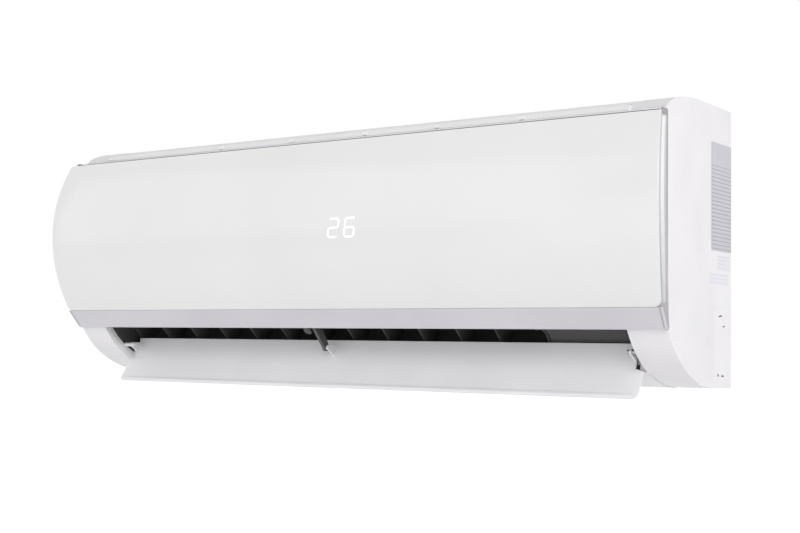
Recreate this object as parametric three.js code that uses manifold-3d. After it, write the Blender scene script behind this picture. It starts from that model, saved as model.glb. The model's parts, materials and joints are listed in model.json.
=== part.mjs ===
// Indoor unit of a wall-mounted split air conditioner, louver open.
// Millimetres. X runs to the right as seen from the front, Y into the wall, Z up.
// Sections are lists of [y, z], with y = 0 at the wall and z counted from the underside.
// The last group lowers everything so that the origin is the middle of the wall plate's back face.
import * as THREE from "three";
import { mergeVertices } from "three/addons/utils/BufferGeometryUtils.js";
import Module from "manifold-3d";

const wasm = await Module();
wasm.setup();

// ---------------------------------------------------------------- driving dimensions

// Clearances
const seat = 0.3; // between pieces that rest on or in each other
const running = 0.8; // between pieces that move past each other

// Casing
const caseWidth = 845;
const caseHeight = 300;
const caseWall = 2.5;
const chinHeight = 60; // where that front edge ends below
const browDrop = 19; // how far below the top it ends above
const undersideFlat = 45; // flat part of the underside, from the wall
const topFlat = 80; // flat part of the top, from the wall
const chinPullBack = 19; // how the underside's curve leaves the chin
const chinPullDown = 32;
const undersidePull = 55; // and how it reaches the flat part
const topPull = 54; // how the top's curve leaves its flat part
const browPull = 7; // and how it reaches the brow
const cheekWidth = 43.5; // solid-looking end of the underside beside the outlet
const outletDepth = 52; // casing's front to the rear edge of the outlet
const frontFrame = 16; // height of the frame bar above the outlet
const frontBrow = 19; // height of the frame bar below the brow
const postGap = 15; // duct's left end to the front opening's left edge
const frontReach = 26; // duct's right end to the right edge of the front opening
const filterReach = 7; // duct's right end to the right filter's edge

// Front panel
const panelRoom = 35.5; // filters to the panel's foremost line
const panelCrown = 3.8; // that line above the middle of the panel
const panelUpperSag = 25.46; // how far its upper edge falls back from that line
const panelLowerSag = 26.06; // and its lower edge
const panelTopDrop = 22; // casing's top to the panel's
const panelLift = 20.4; // casing's chin to the panel's lower edge
const panelWall = 3;
const panelOverhang = 2.5; // panel beyond the casing's side at its top and bottom
const panelBulge = 8.6; // how far its sides bow out beyond that
const panelCorner = 8;
const panelRoll = 9; // height of its rounded top edge
const backingWall = 1.8;
const backingMargin = 12;
const panelHingeStand = 7; // hinge line before the casing's front
const panelHingeDrop = 6; // panel's top to the hinge line
const panelPinRadius = 2.6;
const panelArm = 4; // thickness of a hinge arm or ear
const panelHingeInset = 19; // case side to the outer face of a hinge ear

// Trim around the panel
const trimWall = 2.4;
const trimGap = 0.7; // shadow line between trim and panel
const trimDrop = 1; // trim's lower edge below the casing's chin
const trimStand = 4; // that edge before the casing's front
const screwShank = 2;
const screwSpread = 253.5; // sideways from the middle

// Top grille
const grilleEnd = 42; // smooth end of the top beside the grille
const grilleInset = 7; // casing's front to the grille's
const grilleBack = 16;
const grilleColumns = 18;
const grilleRows = 3;
const grilleBar = 5;

// Wall plate
const plateInset = 32.5; // casing's side to the plate's
const plateWall = 2;
const plateBottom = 88;
const plateTopDrop = 16; // casing's top to the plate's
const plateHookWidth = 40;
const plateHookSpan = 250; // middle to the middle of a hook
const plateHookReach = 8;
const plateHookDrop = 20; // plate's top edge to a hook's shelf
const plateHookLift = 8; // height of a hook's upturned nose
const plateHoles = [78, 195, 328]; // sideways from the middle
const plateHoleLow = 22; // from the plate's lower edge
const plateHoleHigh = 40; // from its upper edge
const plateWindow = 265; // middle of a window, sideways
const plateWindowWidth = 80;
const plateWindowLow = 45; // from the plate's lower edge
const plateWindowHigh = 75; // from its upper edge
const screwHoleRadius = 2.6;
const backMargin = 5; // chassis back wall inside the casing's skin

// Air path
const fanDepth = 98; // wall to the fan's axis
const fanHeight = 133;
const fanRadius = 46;
const fanBladeDepth = 10;
const fanBlades = 12;
const fanBays = 3;
const fanDisc = 2;
const guideGap = 6; // fan to guide at its closest
const guideGrowth = 11; // how much that gap grows down the scroll
const ductInset = 52.5; // casing's left side to the duct
const motorBay = 165.5; // duct to the casing's right side
const ductWall = 2.5;
const ductDrop = 66; // how the duct's floor leaves the scroll: down and forward
const ductThrow = 38;
const webRise = 14; // web from the scroll up to the back wall
const channelDepth = 46; // pipe channel behind the scroll
const channelDrop = 51; // fan's axis to the channel's roof

// Vanes in the outlet duct
const vaneCount = 11;
const vaneLeftGroup = 6;
const vaneFirst = 52.5; // duct's left end to the first vane
const vaneLast = 60.5; // last vane to the duct's right end
const vaneThickness = 1.4;
const vaneRear = 15; // vane's pivot to its upper rear corner
const vaneFanGap = 3.9; // that corner to the fan
const vaneRoofGap = 9; // vane's upper end to the foot of the duct's roof
const vanePinRadius = 1.5;
const vaneCrank = 10; // vane pivot to its link pin
const linkPinRadius = 1.2;
const linkWidth = 9;
const linkThickness = 1.6;
const knobRadius = 5.5;
const knobHeight = 44.5;

// Louver
const louverPivotStand = 14; // louver's pivot before the outlet's rear edge
const louverPivotDrop = 23; // casing's chin to the louver's pivot
const louverGap = 2; // its end below the step to the outlet's end
const louverStep = 12; // how much narrower each end is above the step
const louverTip = [-12, -47]; // lower edge and crown of the open louver, from its pivot
const louverCrown = [15, 9];
const louverBow = [3.4, -1.6]; // how far its middle is pushed out of line
const louverStepHeight = -18; // where the ends become narrower
const louverScoop = 23; // radius kept free for the louver around its pivot
const louverWall = 2.2;
const louverPinRadius = 2.5;
const clipPinRadius = 1.8; // of the middle pin, in the support's hub
const louverHub = 5;
const louverEar = 4;
const supportX = -35;

// Coil
const coilThickness = 22;
const coilTubeRadius = 3.5;
const coilPlate = 1;
const coilPitch = 25;
const coilPlateEdge = 2.4; // end plate beyond the lowest block
const coilPlateJoin = 6; // end plate beyond the blocks where they meet
const coilGap = 8; // fan to the front coil
const coilLift = 12; // frame bar above the outlet to the coil's foot
const coilPeakDrop = 45; // casing's top to the coil's peak
const coilRearDepth = 41; // wall to the rear coil's lower end
const coilRearLift = 9; // that end above the front coil's knee
const panWall = 2;

// Filters
const filterWall = 2;
const filterRib = 3;
const filterColumns = 5;
const filterSplit = -56;
const filterGap = 3; // coil to filter
const filterStand = 12; // filter's inner face before the casing's front
const filterFootLift = 11; // coil's foot to the filter's
const filterKneeLift = 17; // coil's knee to the filter's
const filterCrest = 19.5; // below the casing's top
const filterPeakStand = 12; // filter's peak before the fan's axis
const filterBack = 60; // wall to the filter's rear end
const filterLip = 1.8; // pan's front lip before the filter's inner face

// Motor and bearing
const shaftRadius = 4;
const motorRadius = 38;
const motorLength = 62;
const motorOffset = 9; // duct's right end to the motor
const clampWall = 3;
const cradleWall = 4.7;
const postWidth = 20;
const clampWidth = 24;
const bearingRadius = 8;
const rubberRadius = 13.5;
const bearingWidth = 8;

// Electrics
const boxInset = 11.5; // casing's right side to the box
const boxWidth = 70;
const boxBottom = 99;
const boxTopDrop = 38; // casing's top to the box's
const boxBack = 40;
const boxFrontInset = 25; // casing's front to the box's
const boxWall = 2;
const boardWall = 1.6;
const coverInset = 20.5; // casing's right side to the wiring cover
const coverWidth = 114;
const coverBottom = 86;
const coverDrop = 26; // button's middle to the cover's top
const coverWall = 2.5;
const coverLap = 5;
const buttonRadius = 5;
const buttonInset = 87.5; // casing's right side to the button's middle
const buttonDrop = 74; // casing's top to the button's middle
const buttonStand = 2.5; // cap before the casing's front
const buttonLength = 11.5;
const displayX = 51;
const displayHeight = 169;
const displayWidth = 64;
const displayTall = 40;
const displayDepth = 9;

// Pipes
const liquidRadius = 3.175;
const gasRadius = 4.76;
const liquidHeight = 30;
const gasHeight = 54;
const pipeDepth = 22;
const pipeBend = 22;
const pipeElbow = 10;
const liquidPort = [0.5, 5.3]; // where it leaves the rear coil: share of its length, and from its face
const gasPort = [0.877, 4.1];
const portRoom = 10; // pipe to the nearest return bend, along the coil
const liquidReach = 25; // duct's right end to each pipe's drop in the motor bay
const gasReach = 13;
const pipeInset = 110; // duct's left end to the pipes' left ends
const liquidNutAcross = 17;
const gasNutAcross = 22;
const nutLength = 16;
const nutSocket = 10; // nut beyond the pipe's end
const capLength = 8; // shipping cap beyond the nut
const sleeveWall = 6;
const drainRadius = 8;
const drainWall = 1.8;
const drainHeight = 40;

// Side face
const knockoutDepth = 48;
const knockoutTop = 84;
const knockoutBottom = 12;
const knockoutBack = 4;
const knockoutCorner = 12;
const labelWidth = 53;
const labelDrop = 39; // casing's top to the label's
const labelHeight = 115;
const labelWall = 0.4;

// ---------------------------------------------------------------- sizes that follow from them

const caseHalf = caseWidth / 2;
const cheekInner = caseHalf - cheekWidth; // outlet's end wall, facing the outlet
const ductLeft = ductInset - caseHalf;
const ductRight = caseHalf - motorBay;
const frontPost = ductInset - postGap; // width of the frame post at the left
const vanePitch = (ductRight - ductLeft - vaneFirst - vaneLast) / (vaneCount - 1);
const louverHalf = cheekInner - louverGap; // half the louver's width below the step
const plateWidth = caseWidth - 2 * plateInset;
const panelHalf = caseHalf + panelOverhang; // half the panel's width at its top and bottom
const boxRight = caseHalf - boxInset;
const boxLeft = boxRight - boxWidth;
const coverRight = caseHalf - coverInset;
const coverLeft = coverRight - coverWidth;
const buttonX = caseHalf - buttonInset;
const pipeEnd = ductLeft + pipeInset;

const coilDepth = fanDepth + fanRadius + coilGap; // wall to the front coil's inner face
const filterDepth = coilDepth + coilThickness + filterGap;
const caseDepth = filterDepth - filterStand; // wall to the straight front edge of a side face
const panelDepth = filterDepth + panelRoom; // wall to the panel's foremost line
const panelHingeDepth = caseDepth + panelHingeStand;
const grilleFront = caseDepth - grilleInset;
const outletLip = caseDepth - outletDepth; // wall to the rear edge of the outlet
const louverPivotDepth = outletLip + louverPivotStand;
const louverPivotHeight = chinHeight - louverPivotDrop;
const boxFront = caseDepth - boxFrontInset;

const panelTop = caseHeight - panelTopDrop;
const panelBottom = chinHeight + panelLift;
const panelApex = (panelTop + panelBottom) / 2 + panelCrown; // height of its foremost line
const panelHingeHeight = panelTop - panelHingeDrop;
const plateTop = caseHeight - plateTopDrop;
const channelHeight = fanHeight - channelDrop;
const coilFoot = chinHeight + frontFrame + coilLift;
const coilKnee = fanHeight + fanRadius + coilGap; // where the front coil leans back
const coilPeak = caseHeight - coilPeakDrop;
const coilRearFoot = coilKnee + coilRearLift;
const filterFoot = coilFoot + filterFootLift;
const filterPeak = fanDepth + filterPeakStand; // wall to the filter's peak
const filterKnee = coilKnee + filterKneeLift; // where the filter leans back
const boxTop = caseHeight - boxTopDrop;
const buttonHeight = caseHeight - buttonDrop;
const coverTop = buttonHeight - coverDrop;
const labelTop = caseHeight - labelDrop;

// ---------------------------------------------------------------- materials

function finish(color, roughness, metalness = 0) {
  return new THREE.MeshStandardMaterial({ color, roughness, metalness });
}
const whitePlastic = () => finish(0xf0eef2, 0.45);
const glossWhite = () => finish(0xe8eae8, 0.15);
const silverTrim = () => finish(0xc8c8d0, 0.3, 0.4);
const darkPlastic = () => finish(0x2a2a2c, 0.6);
const greyPlastic = () => finish(0x55555a, 0.6);
const zincSteel = () => finish(0xa8acb0, 0.45, 0.9);
const copper = () => finish(0xb8734a, 0.35, 1);
const brass = () => finish(0xc8a050, 0.35, 1);
const aluminium = () => finish(0xc4c8cc, 0.5, 0.8);
const rubber = () => finish(0x1e1e1e, 0.9);
const foam = () => finish(0xdedede, 0.95);
const boardGreen = () => finish(0x2f6b3c, 0.6);

// ---------------------------------------------------------------- shape helpers

// A closed body that can be joined and cut, from the faces of a geometry.
function solid(geometry) {
  const bare = geometry.clone();
  bare.deleteAttribute("normal");
  bare.deleteAttribute("uv");
  const merged = mergeVertices(bare, 1e-4);
  const mesh = new wasm.Mesh({
    numProp: 3,
    vertProperties: merged.attributes.position.array,
    triVerts: new Uint32Array(merged.index.array),
  });
  return new wasm.Manifold(mesh);
}

function geometryOf(body) {
  const mesh = body.getMesh();
  const geometry = new THREE.BufferGeometry();
  const points = new Float32Array(mesh.vertProperties);
  geometry.setAttribute("position", new THREE.BufferAttribute(points, 3));
  geometry.setIndex(new THREE.BufferAttribute(new Uint32Array(mesh.triVerts), 1));
  return geometry.toNonIndexed();
}

function join(...bodies) {
  return bodies.flat().reduce((sum, body) => sum.add(body));
}

function cut(body, ...tools) {
  return tools.flat().reduce((rest, tool) => rest.subtract(tool), body);
}

function toVectors(outline) {
  return outline.map(([a, b]) => new THREE.Vector2(a, b));
}

// Extrudes an outline of [y, z] along X.
function prismGeometry(outline, x0, x1) {
  const options = { depth: x1 - x0, bevelEnabled: false };
  const geometry = new THREE.ExtrudeGeometry(new THREE.Shape(toVectors(outline)), options);
  const basis = new THREE.Matrix4().makeBasis(
    new THREE.Vector3(0, 1, 0),
    new THREE.Vector3(0, 0, 1),
    new THREE.Vector3(1, 0, 0),
  );
  return geometry.applyMatrix4(basis).translate(x0, 0, 0);
}

function prism(outline, x0, x1) {
  return solid(prismGeometry(outline, x0, x1));
}

// Extrudes an outline of [x, z] from y1 forward to y0.
function frontal(outline, y0, y1) {
  const options = { depth: y1 - y0, bevelEnabled: false };
  const geometry = new THREE.ExtrudeGeometry(new THREE.Shape(toVectors(outline)), options);
  return solid(geometry.rotateX(Math.PI / 2).translate(0, y1, 0));
}

function box(x0, x1, y0, y1, z0, z1) {
  const geometry = new THREE.BoxGeometry(x1 - x0, y1 - y0, z1 - z0);
  return solid(geometry.translate((x0 + x1) / 2, (y0 + y1) / 2, (z0 + z1) / 2));
}

// A round or many-sided bar between two points.
function barGeometry(from, to, radius, sides) {
  const start = new THREE.Vector3(...from);
  const way = new THREE.Vector3(...to).sub(start);
  const geometry = new THREE.CylinderGeometry(radius, radius, way.length(), sides);
  geometry.translate(0, way.length() / 2, 0);
  const up = new THREE.Vector3(0, 1, 0);
  geometry.applyQuaternion(new THREE.Quaternion().setFromUnitVectors(up, way.normalize()));
  return geometry.translate(...from);
}

function bar(from, to, radius, sides = 16) {
  return solid(barGeometry(from, to, radius, sides));
}

// A tube or rod along a smooth path of [x, y, z].
function hose(points, radius, steps, sides = 8) {
  const path = new THREE.CatmullRomCurve3(points.map((p) => new THREE.Vector3(...p)));
  const section = new THREE.Shape();
  section.absarc(0, 0, radius, 0, Math.PI * 2);
  const options = { steps, curveSegments: sides / 2, extrudePath: path, bevelEnabled: false };
  return solid(new THREE.ExtrudeGeometry(section, options));
}

// A ring or disc about X, from its [x, radius] profile, in the fan's frame.
function turned(profile, sides = 24) {
  const points = profile.map(([x, r]) => new THREE.Vector2(r, x));
  return solid(new THREE.LatheGeometry(points, sides).rotateZ(-Math.PI / 2));
}

function cubic(p0, p1, p2, p3, steps) {
  const curve = new THREE.CubicBezierCurve(...toVectors([p0, p1, p2, p3]));
  return curve.getPoints(steps).map((p) => [p.x, p.y]);
}

function quadratic(p0, p1, p2, steps) {
  const curve = new THREE.QuadraticBezierCurve(...toVectors([p0, p1, p2]));
  return curve.getPoints(steps).map((p) => [p.x, p.y]);
}

// Points on a circle between two angles in degrees, from +Y towards +Z.
function arc([y, z], radius, from, to, steps) {
  return Array.from({ length: steps + 1 }, (_, i) => {
    const angle = THREE.MathUtils.degToRad(from + ((to - from) * i) / steps);
    return [y + radius * Math.cos(angle), z + radius * Math.sin(angle)];
  });
}

// The same arc drawn outside the circle, so that its flats clear a round piece of that radius.
function arcAround(centre, radius, from, to, steps) {
  const halfStep = THREE.MathUtils.degToRad(Math.abs(to - from) / steps / 2);
  return arc(centre, radius / Math.cos(halfStep), from, to, steps);
}

// The path moved sideways, to the left of its direction, with mitred corners.
function offsetPath(path, distance) {
  const normals = path.slice(1).map(([y, z], i) => {
    const [dy, dz] = [y - path[i][0], z - path[i][1]];
    const length = Math.hypot(dy, dz);
    return [-dz / length, dy / length];
  });
  return path.map(([y, z], i) => {
    const before = normals[Math.max(i - 1, 0)];
    const after = normals[Math.min(i, normals.length - 1)];
    const scale = distance / (1 + before[0] * after[0] + before[1] * after[1]);
    return [y + (before[0] + after[0]) * scale, z + (before[1] + after[1]) * scale];
  });
}

function direction(from, to) {
  const length = Math.hypot(to[0] - from[0], to[1] - from[1]);
  return [(to[0] - from[0]) / length, (to[1] - from[1]) / length];
}

// A path thickened to its left.
function strip(path, thickness) {
  return [...path, ...offsetPath(path, thickness).reverse()];
}

// ---------------------------------------------------------------- shared lines

const fanAxis = [-fanDepth, fanHeight];
const louverAxis = [-louverPivotDepth, louverPivotHeight];
const panelHinge = [-panelHingeDepth, panelHingeHeight];
const browHeight = caseHeight - browDrop;

// Underside of a cheek, from the chin back to the flat part.
const undersideCurve = cubic(
  [-caseDepth, chinHeight],
  [chinPullBack - caseDepth, chinHeight - chinPullDown],
  [-undersidePull - undersideFlat, 0],
  [-undersideFlat, 0],
  10,
);
const topCurve = cubic(
  [-topFlat, caseHeight],
  [-topPull - topFlat, caseHeight],
  [browPull - caseDepth, caseHeight - browDrop / 2],
  [-caseDepth, browHeight],
  9,
);
// Right-hand way round: wall top, forward over the top, down the front, back along the underside.
const caseLine = [[0, caseHeight], ...topCurve, ...undersideCurve, [0, 0]];

// Height of the underside at a distance from the wall.
function undersideAt(y) {
  const next = undersideCurve.findIndex((p) => p[0] > y);
  const [a, b] = [undersideCurve[next - 1], undersideCurve[next]];
  return a[1] + ((b[1] - a[1]) * (y - a[0])) / (b[0] - a[0]);
}

// Radius of an arc from its height and how far it falls back.
const arcRadius = (height, sag) => (height ** 2 + sag ** 2) / (2 * sag);
const panelUpperRadius = arcRadius(panelTop - panelApex, panelUpperSag);
const panelLowerRadius = arcRadius(panelApex - panelBottom, panelLowerSag);

// Foremost surface of the panel at a height.
function panelSurface(z) {
  const radius = z > panelApex ? panelUpperRadius : panelLowerRadius;
  return radius - panelDepth - Math.sqrt(radius ** 2 - (z - panelApex) ** 2);
}

// Half width of the panel at a height.
function panelEdge(z) {
  const middle = (panelTop + panelBottom) / 2;
  const share = (z - middle) / (panelTop - middle);
  return panelHalf + panelBulge * Math.max(0, 1 - share ** 2);
}

function heights(from, to, steps) {
  return Array.from({ length: steps + 1 }, (_, i) => from + ((to - from) * i) / steps);
}

const rollStart = panelTop - panelRoll;
const panelTopBack = panelSurface(rollStart) + panelRoll + 1.5;
const panelLine = [
  ...heights(panelBottom, rollStart, 15).map((z) => [panelSurface(z), z]),
  ...quadratic(
    [panelSurface(rollStart), rollStart],
    [panelSurface(rollStart) + 2, panelTop],
    [panelTopBack, panelTop],
    4,
  ).slice(1),
];

// Air-side face of the scroll, from its top down to the outlet's rear lip.
const guideRadius = fanRadius + guideGap;
const spiral = heights(60, -30, 7).map((angle) => {
  const radius = guideRadius + (guideGrowth * (60 - angle)) / 90;
  const turn = THREE.MathUtils.degToRad(angle);
  return [fanAxis[0] + radius * Math.cos(turn), fanAxis[1] + radius * Math.sin(turn)];
});
const spiralEnd = spiral[spiral.length - 1];
const lip = [-outletLip, undersideAt(-outletLip)];
const floorPull = [spiralEnd[0] - ductThrow, spiralEnd[1] - ductDrop];
const ductFloor = quadratic(spiralEnd, floorPull, lip, 8);
const guideLine = [...spiral, ...ductFloor.slice(1)];

// Air-side face of the duct's roof, from the tongue beside the fan down to the frame bar.
const tongue = [fanAxis[0] - fanRadius + 3.5, fanAxis[1] - 27.5];
const roofEnd = [-caseDepth + 5.5, chinHeight + 7.5];
const roofTop = [3.8 - coilDepth, coilFoot + 4];
const roofFoot = [2 - coilDepth, coilFoot - 7];
const ductRoof = [tongue, roofTop, roofFoot, roofEnd];

// The vane pivots stand square on the duct's floor; local Y is upstream and local Z is the pivot.
const vaneBase = ductFloor[5];
const vaneSlope = Math.atan2(
  ductFloor[4][1] - ductFloor[6][1],
  ductFloor[4][0] - ductFloor[6][0],
);
const ductFrame = new THREE.Group();
ductFrame.position.set(0, vaneBase[0], vaneBase[1]);
ductFrame.rotation.x = vaneSlope;
ductFrame.updateMatrix();

// The vanes rise until their rear corner comes near the fan, or their top near the duct's roof.
const [sine, cosine] = [Math.sin(vaneSlope), Math.cos(vaneSlope)];
const [fanY, fanZ] = [fanAxis[0] - vaneBase[0], fanAxis[1] - vaneBase[1]];
const fanBeside = fanY * cosine + fanZ * sine - vaneRear;
const fanAbove = fanZ * cosine - fanY * sine;
const fanReach = Math.sqrt(Math.max(0, (fanRadius + vaneFanGap) ** 2 - fanBeside ** 2));
const roofAbove = (roofFoot[1] - vaneBase[1]) * cosine - (roofFoot[0] - vaneBase[0]) * sine;
const vaneHeight = Math.min(fanAbove - fanReach, roofAbove - vaneRoofGap);
const vaneX = (index) => ductLeft + vaneFirst + vanePitch * index;


// ---------------------------------------------------------------- sub-parts

const hookShelf = plateTop - plateHookDrop;

function wallPlate() {
  const half = plateWidth / 2;
  const sheet = box(-half, half, -plateWall, 0, plateBottom, plateTop);
  const under = hookShelf - plateWall;
  const hooks = [-1, 1].map((side) => {
    const x0 = side * plateHookSpan - plateHookWidth / 2;
    const x1 = x0 + plateHookWidth;
    const shelf = box(x0, x1, -plateHookReach, -1, under, hookShelf);
    const inner = plateWall - plateHookReach;
    const nose = box(x0, x1, -plateHookReach, inner, under, hookShelf + plateHookLift);
    return join(shelf, nose);
  });
  const holes = plateHoles.flatMap((place) => [-place, place]).flatMap((x) =>
    [plateBottom + plateHoleLow, plateTop - plateHoleHigh].map((z) =>
      bar([x, -5, z], [x, 5, z], screwHoleRadius, 8),
    ),
  );
  const windows = [-plateWindow, plateWindow].map((x) =>
    box(
      x - plateWindowWidth / 2, x + plateWindowWidth / 2, -5, 5,
      plateBottom + plateWindowLow, plateTop - plateWindowHigh,
    ),
  );
  return cut(join(sheet, hooks), holes, windows);
}

function rearChassis() {
  const back = -plateWall - seat;
  const half = caseHalf - caseWall - backMargin;
  const skinHalf = cheekInner - seat;
  const wallTop = caseHeight - caseWall - backMargin;
  const backWall = box(-half, half, back - ductWall, back, channelHeight, wallTop);
  const scroll = prism(strip(guideLine, ductWall), ductLeft - ductWall, ductRight + ductWall);
  const floorLine = [
    [back, 0],
    [-undersideFlat, 0],
    ...[...undersideCurve].reverse().slice(1).filter((p) => p[0] > -outletLip + 2),
    lip,
  ];
  const floor = prism(strip(floorLine, -ductWall), -skinHalf, skinHalf);
  const webLine = [
    [guideLine[1][0] + 1, guideLine[1][1] + 1],
    [back - 1, guideLine[1][1] + webRise],
  ];
  const web = prism(strip(webLine, ductWall), ductLeft - ductWall, ductRight + ductWall);
  const ends = [
    ductEnd(ductLeft - ductWall, ductLeft),
    ductEnd(ductRight, ductRight + ductWall),
  ];
  const slotFoot = hookShelf - plateWall - plateHookLift - 2;
  const slots = [-plateHookSpan, plateHookSpan].map((x) => {
    const reach = plateHookWidth / 2 + 1;
    return box(x - reach, x + reach, -plateHookReach, 0, slotFoot, hookShelf + seat);
  });
  const bearingHole = bar(
    [ductLeft - 10, ...fanAxis], [ductLeft + 10, ...fanAxis], rubberRadius + seat, 24,
  );
  const shaftHole = bar(
    [ductRight - 10, ...fanAxis], [ductRight + 10, ...fanAxis], shaftRadius + 4, 16,
  );
  const pinHoles = Array.from({ length: vaneCount }, (_, i) => {
    const hole = barGeometry([vaneX(i), 0, -8], [vaneX(i), 0, 3], vanePinRadius + seat, 10);
    return solid(hole.applyMatrix4(ductFrame.matrix));
  });
  const body = join(backWall, scroll, floor, web, ends, motorCradle());
  return cut(body, slots, bearingHole, shaftHole, pinHoles);
}

// Liner that forms the roof and the front of the pipe channel, between back wall and floor.
function pipeChannel() {
  const line = [
    [-plateWall - ductWall - 2 * seat, channelHeight],
    [-channelDepth, channelHeight - 2],
    [-channelDepth, ductWall + seat],
  ];
  return prism(strip(line, ductWall), ductLeft, ductRight);
}

// End wall of the air duct; its lower front is cut clear of the swinging louver.
function ductEnd(x0, x1) {
  const crown = arc(fanAxis, guideRadius, 200, 60, 7);
  const front = [
    [ductRoof[1][0] + 2.5, ductRoof[1][1]],
    [ductRoof[2][0] + 2.5, ductRoof[2][1]],
  ];
  const scoop = arc(louverAxis, louverScoop, -50, 110, 6);
  const inner = offsetPath(guideLine, ductWall / 2);
  return prism([...inner, ...scoop, ...front.reverse(), ...crown], x0, x1);
}

const motorMiddle = ductRight + ductWall + motorOffset + motorLength / 2;

// Saddle under the motor, standing on the floor and held to the back wall.
function motorCradle() {
  const [x0, x1] = [motorMiddle - clampWidth / 2, motorMiddle + clampWidth / 2];
  const bowl = arcAround(fanAxis, motorRadius + seat, 180, 360, 10);
  const underside = arc(fanAxis, motorRadius + seat + cradleWall, 360, 180, 10);
  const saddle = prism([...bowl, ...underside], x0, x1);
  const rim = motorRadius + cradleWall / 2;
  const postBack = -fanDepth + postWidth + 6;
  const post = box(x0, x1, postBack - postWidth, postBack, ductWall / 2, fanHeight - rim);
  const arm = box(x0, x1, rim - fanDepth, -plateWall - 1, fanHeight - 8, fanHeight);
  return join(saddle, post, arm);
}

// A box through the casing's front wall.
function throughFront(x0, x1, z0, z1) {
  return box(x0, x1, -caseDepth - 5, 10 - caseDepth, z0, z1);
}

function holeThroughFront(x, z, radius, sides = 16) {
  return bar([x, -caseDepth - 5, z], [x, 10 - caseDepth, z], radius, sides);
}

function frontCasing() {
  const outer = prism(caseLine, -caseHalf, caseHalf);
  const innerLine = offsetPath(caseLine, caseWall);
  innerLine[0][0] = 1;
  innerLine[innerLine.length - 1][0] = 1;
  const inner = prism(innerLine, caseWall - caseHalf, caseHalf - caseWall);
  const cheekWalls = [-1, 1].map((side) => {
    const [a, b] = [side * cheekInner, side * (cheekInner + caseWall)].sort((p, q) => p - q);
    const slab = box(a, b, -caseDepth, -channelDepth, 0, chinHeight + frontFrame);
    return slab.intersect(outer);
  });
  const outletCut = box(-cheekInner, cheekInner, -caseDepth - 5, 1, -1, chinHeight);
  const frontCut = throughFront(
    frontPost - caseHalf, ductRight + frontReach, chinHeight + frontFrame, browHeight - frontBrow,
  );
  const wiringCut = throughFront(
    coverLeft + coverLap, coverRight - coverLap, coverBottom + coverLap, coverTop - coverLap,
  );
  const grilleEdge = caseHalf - grilleEnd;
  const topCut = box(
    -grilleEdge, grilleEdge, -grilleFront, -grilleBack, browHeight - 10, caseHeight + 5,
  );
  const buttonHole = holeThroughFront(buttonX, buttonHeight, buttonRadius + seat);
  const bore = louverPinRadius + seat;
  const pinHoles = [-cheekInner, cheekInner].map((x) =>
    bar([x - 10, ...louverAxis], [x + 10, ...louverAxis], bore),
  );
  const knockout = prism(knockoutOutline(0), caseHalf - 10, caseHalf + 10);
  const screws = screwPlaces.map((x) => holeThroughFront(x, screwHeight, screwShank + seat, 12));
  const shell = join(cut(outer, inner), cheekWalls, panelEars());
  return cut(
    shell, outletCut, frontCut, wiringCut, topCut, buttonHole, pinHoles, knockout, screws,
  );
}

// Ears on the front frame that hold the panel's pins.
function panelEars() {
  return [-1, 1].map((side) => {
    const outerX = side * (caseHalf - panelHingeInset);
    const [x0, x1] = [outerX, outerX - side * panelArm].sort((p, q) => p - q);
    const nose = arc(panelHinge, panelPinRadius + 3.4, 90, 270, 8);
    const root = 1 - caseDepth;
    const ear = prism([...nose, [root, nose[8][1]], [root, nose[0][1]]], x0, x1);
    const hole = bar([x0 - 1, ...panelHinge], [x1 + 1, ...panelHinge], panelPinRadius + seat, 16);
    return cut(ear, hole);
  });
}

const screwHeight = chinHeight + 0.75 * frontFrame; // behind the trim
const screwPlaces = [-screwSpread, screwSpread];

function casingScrew(x) {
  const under = -caseDepth - seat;
  const head = bar([x, under - 2, screwHeight], [x, under, screwHeight], screwShank + 1.6, 12);
  const shank = bar([x, under - 1, screwHeight], [x, 3 - caseDepth, screwHeight], screwShank, 12);
  return join(head, shank);
}

function knockoutOutline(inset) {
  const y0 = -knockoutDepth + inset;
  const y1 = -knockoutBack - inset;
  const z0 = knockoutBottom + inset;
  const z1 = knockoutTop - inset;
  const corner = knockoutCorner;
  return [[y0, z0], [y1, z0], [y1, z1], ...arc([y0 + corner, z1 - corner], corner, 90, 180, 5)];
}

function knockoutCover() {
  const cover = prism(knockoutOutline(1), caseHalf - caseWall, caseHalf);
  const tabs = [0.25, 0.75].flatMap((share) => {
    const z = knockoutBottom + (knockoutTop - knockoutBottom) * share;
    return [
      box(caseHalf - caseWall, caseHalf, seat - knockoutDepth, 2 - knockoutDepth, z - 2, z + 2),
      box(caseHalf - caseWall, caseHalf, -knockoutBack - 2, -knockoutBack - seat, z - 2, z + 2),
    ];
  });
  return join(cover, tabs);
}

function topGrille() {
  const edge = caseHalf - grilleEnd - seat;
  const band = prism(caseLine, -edge, edge).subtract(
    prism(offsetPath(caseLine, caseWall), -edge - 1, edge + 1),
  );
  const region = box(
    -edge - 1, edge + 1, seat - grilleFront, -grilleBack - seat, browHeight - 10, caseHeight + 5,
  );
  const pitchX = (2 * edge - grilleBar) / grilleColumns;
  const length = grilleFront - grilleBack - 2 * seat;
  const pitchY = (length - grilleBar) / grilleRows;
  const windows = [];
  for (let column = 0; column < grilleColumns; column += 1) {
    for (let row = 0; row < grilleRows; row += 1) {
      const x = -edge + grilleBar + pitchX * column;
      const y = seat - grilleFront + grilleBar + pitchY * row;
      windows.push(
        box(x, x + pitchX - grilleBar, y, y + pitchY - grilleBar, browHeight - 10, caseHeight + 5),
      );
    }
  }
  return cut(band.intersect(region), windows);
}

const trimFoot = chinHeight - trimDrop;
const trimLow = -caseDepth - trimStand;

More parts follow.
